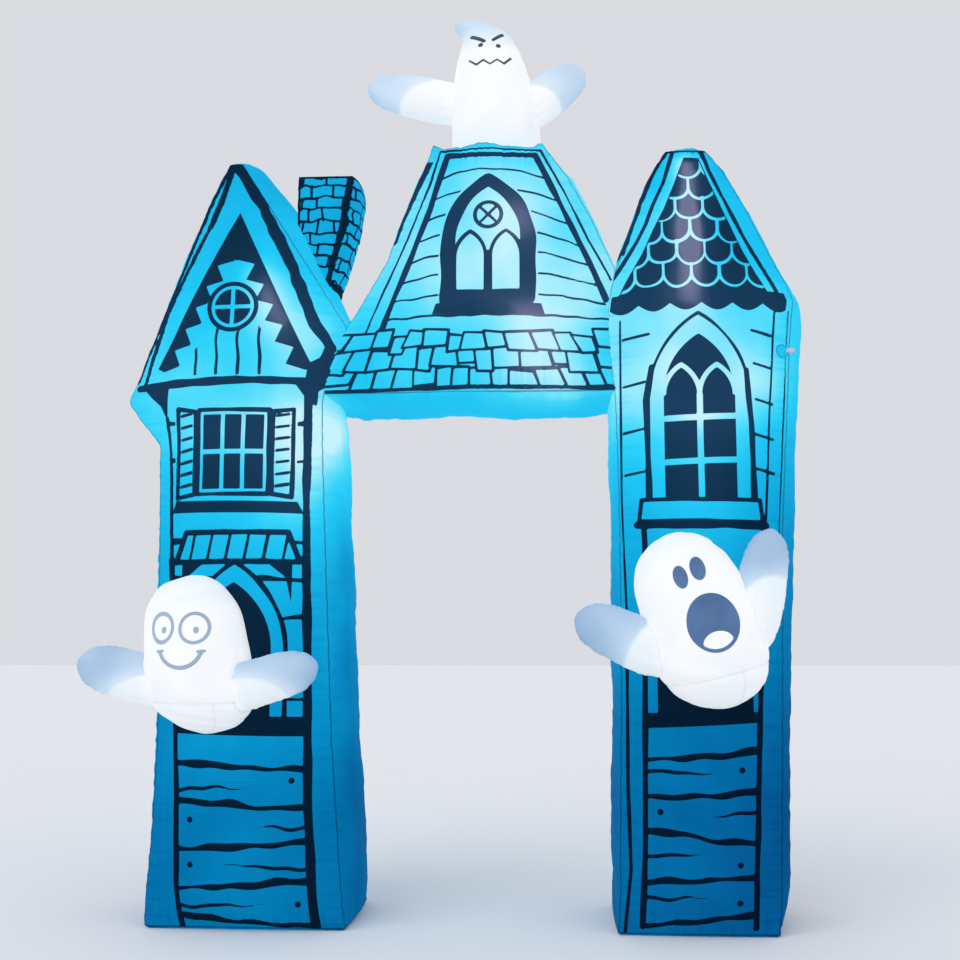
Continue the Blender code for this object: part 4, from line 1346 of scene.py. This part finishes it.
def shouting_face(pen):
    """Two long dark eyes over a wide open mouth with its tongue."""
    pen.lay(pen.oval(-0.040, 0.407, 0.021, 0.035))
    pen.lay(pen.oval(0.016, 0.420, 0.024, 0.036))
    mouth = pen.oval(0.016, 0.255, 0.078, 0.088)
    pen.lay(mouth)
    tongue = pen.oval(0.016, 0.193, 0.046, 0.036)
    pen.leave(tongue, mouth + 0.010)


shouting_ghost = Ghost("shouting_ghost", SHOUTING_GHOST, (0.745, GHOST_PLANE, 0.688), -14.0, [
    Arm("left", (0.590, 0.837), (0.302, 0.960), GHOST_PLANE, 0.084, 0.054, 0.020,
        (0.620, 0.780), 0.180, 0.190),
    Arm("right", (0.816, 0.874), (0.898, 1.221), GHOST_PLANE, 0.078, 0.052, 0.022,
        (0.890, 0.930), 0.120, 0.148),
], GhostLight(0.27, 0.24, 0.83, 0.05))
sew_ghost(shouting_ghost, shouting_face, 0.105, lambda points: pressed_on(points, right_outline),
          ghost_cloth_of("shouting_ghost_cloth", (0.035, 0.085, 0.18), (0.075, 0.14, 0.28)), 7000)

# ---------------------------------------------------------------- roof ghost
# The third ghost stands on the centre house's top, where its open foot is sewn round, and its
# head curls over to a soft point.
ROOF_GHOST = [Girth(*row) for row in (
    (0.000, 0.000, 0.150, 0.128),
    (0.095, -0.001, 0.155, 0.134),
    (0.170, -0.005, 0.155, 0.134),
    (0.255, -0.010, 0.149, 0.130),
    (0.330, -0.016, 0.138, 0.122),
    (0.420, -0.024, 0.113, 0.104),
    (0.480, -0.030, 0.092, 0.086),
    (0.511, -0.044, 0.078, 0.070),
    (0.535, -0.072, 0.076, 0.052),
    (0.553, -0.097, 0.056, 0.037),
    (0.563, -0.113, 0.028, 0.019)
)]


def on_centre_house(points):
    """Lift what would reach into the centre house onto its top panel."""
    x, y, z = np.moveaxis(points, -1, 0)
    top = CENTRE_HOUSE[-1]
    u = np.clip((x - top.left) / (top.right - top.left), 0, 1)
    v = np.clip((y + top.half_depth) / (2 * top.half_depth), 0, 1)
    seat = top.height + CENTRE_HOUSE_RISE * swell(u) * swell(v) + SEWN_GAP
    return np.stack([x, y, np.maximum(z, seat)], axis=-1)


def roof_face(pen):
    """Slanted brows, small eyes and a stitched mouth."""
    pen.line([(-0.084, 0.470), (-0.040, 0.444)], 0.0135)
    pen.line([(-0.008, 0.448), (0.022, 0.474)], 0.0135)
    pen.lay(pen.off(-0.052, 0.428, 1.2) - 0.0078)
    pen.lay(pen.off(0.010, 0.424, 1.2) - 0.0078)
    pen.line([(-0.090, 0.372), (-0.066, 0.352), (-0.042, 0.368), (-0.018, 0.350), (0.006, 0.368),
              (0.030, 0.352), (0.052, 0.378)], 0.0075)


roof_ghost = Ghost("roof_ghost", ROOF_GHOST, (0.046, 0.0, 2.500), 0.0, [
    Arm("left", (-0.040, 2.742), (-0.409, 2.830), 0.0, 0.078, 0.052, 0.0,
        (-0.080, 2.720), 0.215, 0.130),
    Arm("right", (0.115, 2.700), (0.346, 2.872), 0.0, 0.078, 0.052, 0.0,
        (0.150, 2.700), 0.125, 0.105),
], GhostLight(0.43, 0.26, 0.96, 0.50), closed_foot=False)
sew_ghost(roof_ghost, roof_face, None, on_centre_house,
          ghost_cloth_of("roof_ghost_cloth", (0.020, 0.030, 0.042), (0.042, 0.058, 0.075)), 8000)

# ---------------------------------------------------------------- tether
# A guy line's fixing by the right tower's outer seam: a round patch of the same coated cloth,
# stitched on, and over it a folded loop of white woven webbing.
PATCH_RADIUS = 0.023
PATCH_THICKNESS = 0.0020
LOOP_OUTER = 0.0150
LOOP_WALL = 0.0028
LOOP_WIDTH = 0.012
TETHER = (0.9640, 1.8010)   # the patch's middle, across and up
LOOP_CENTRE = np.array((0.9900, -0.2290, 1.8010))


def tether_patch():
    """A disc of cloth on the tower's front panel, with a line of stitches near its rim."""
    rings, around = 18, 64
    share = np.linspace(0.02, 1, rings)[:, None]
    turn = -turns(around)
    x = TETHER[0] + PATCH_RADIUS * share * np.cos(turn)
    z = TETHER[1] + PATCH_RADIUS * share * np.sin(turn)
    out, _ = right_outline.front(x, z)
    from_stitches = (share - 0.84) * PATCH_RADIUS
    stitch = bell(from_stitches, 0.0012) * (0.7 + 0.3 * np.cos(28 * turn))
    top = -out - PATCH_THICKNESS + 0.0010 * stitch + 0.0008 * share ** 8
    skin = np.stack([x, top, z], axis=-1)
    under = np.stack([x, -out + 0.006, z], axis=-1)
    points, faces = closed_loft(np.concatenate([skin, under[::-1]]))
    seam = np.full(len(points), NO_INK)
    seam[:rings * around] = (np.abs(from_stitches) * 2 + 0 * turn).ravel()
    fields = {"ink": np.full(len(points), NO_INK), "seam": seam,
              "glow": glow_at(points, RIGHT_TOWER_LIT) - 0.20}
    cloth_piece("tether_patch", points, faces, fields, house_cloth)


def woven_webbing():
    """White polyester webbing with a rib across it."""
    material = plain_material("white_webbing", {"Roughness": 0.75})
    tree = material.node_tree
    shader = tree.nodes["Principled BSDF"]
    place = node_of(tree, "ShaderNodeTexCoord", {}).outputs["Object"]
    ribs = node_of(tree, "ShaderNodeTexWave", {"Vector": place, "Scale": 260.0, "Distortion": 1.0},
                   wave_type="BANDS", bands_direction="Z").outputs["Fac"]
    # Darker where the rib is low and lighter on its crest: painted shade in the rib's hollows.
    shade = ramp_node(tree, ribs, [(0.0, (0.46, 0.47, 0.62)), (1.0, (0.74, 0.75, 0.88))])
    tree.links.new(shade, shader.inputs["Base Color"])
    tree.links.new(bump_node(tree, ribs, 0.5, 0.0006), shader.inputs["Normal"])
    return material


def squared(value):
    """A wave with flattened sides, which makes a flat band's section."""
    return np.sign(value) * np.abs(value) ** 0.35


def tether_loop():
    """A band of webbing bent round to a loop, thin between its selvedges."""
    around, section = 96, 24
    turn, round_section = turns(around).T, turns(section)
    radius = LOOP_OUTER - LOOP_WALL / 2 \
        + 0.5 * LOOP_WALL * squared(np.cos(round_section)) * (1 + 0.06 * np.cos(32 * turn))
    height = 0.5 * LOOP_WIDTH * squared(np.sin(round_section)) + 0 * turn
    points = LOOP_CENTRE + np.stack([radius * np.cos(turn), radius * np.sin(turn), height], axis=-1)
    numbers = np.arange(around * section).reshape(around, section)
    after = np.roll(numbers, -1, axis=0)
    faces = four_sided(numbers, after, np.roll(after, -1, axis=1), np.roll(numbers, -1, axis=1))
    cloth_piece("tether_loop", points.reshape(-1, 3), faces, {}, woven_webbing())


tether_patch()
tether_loop()
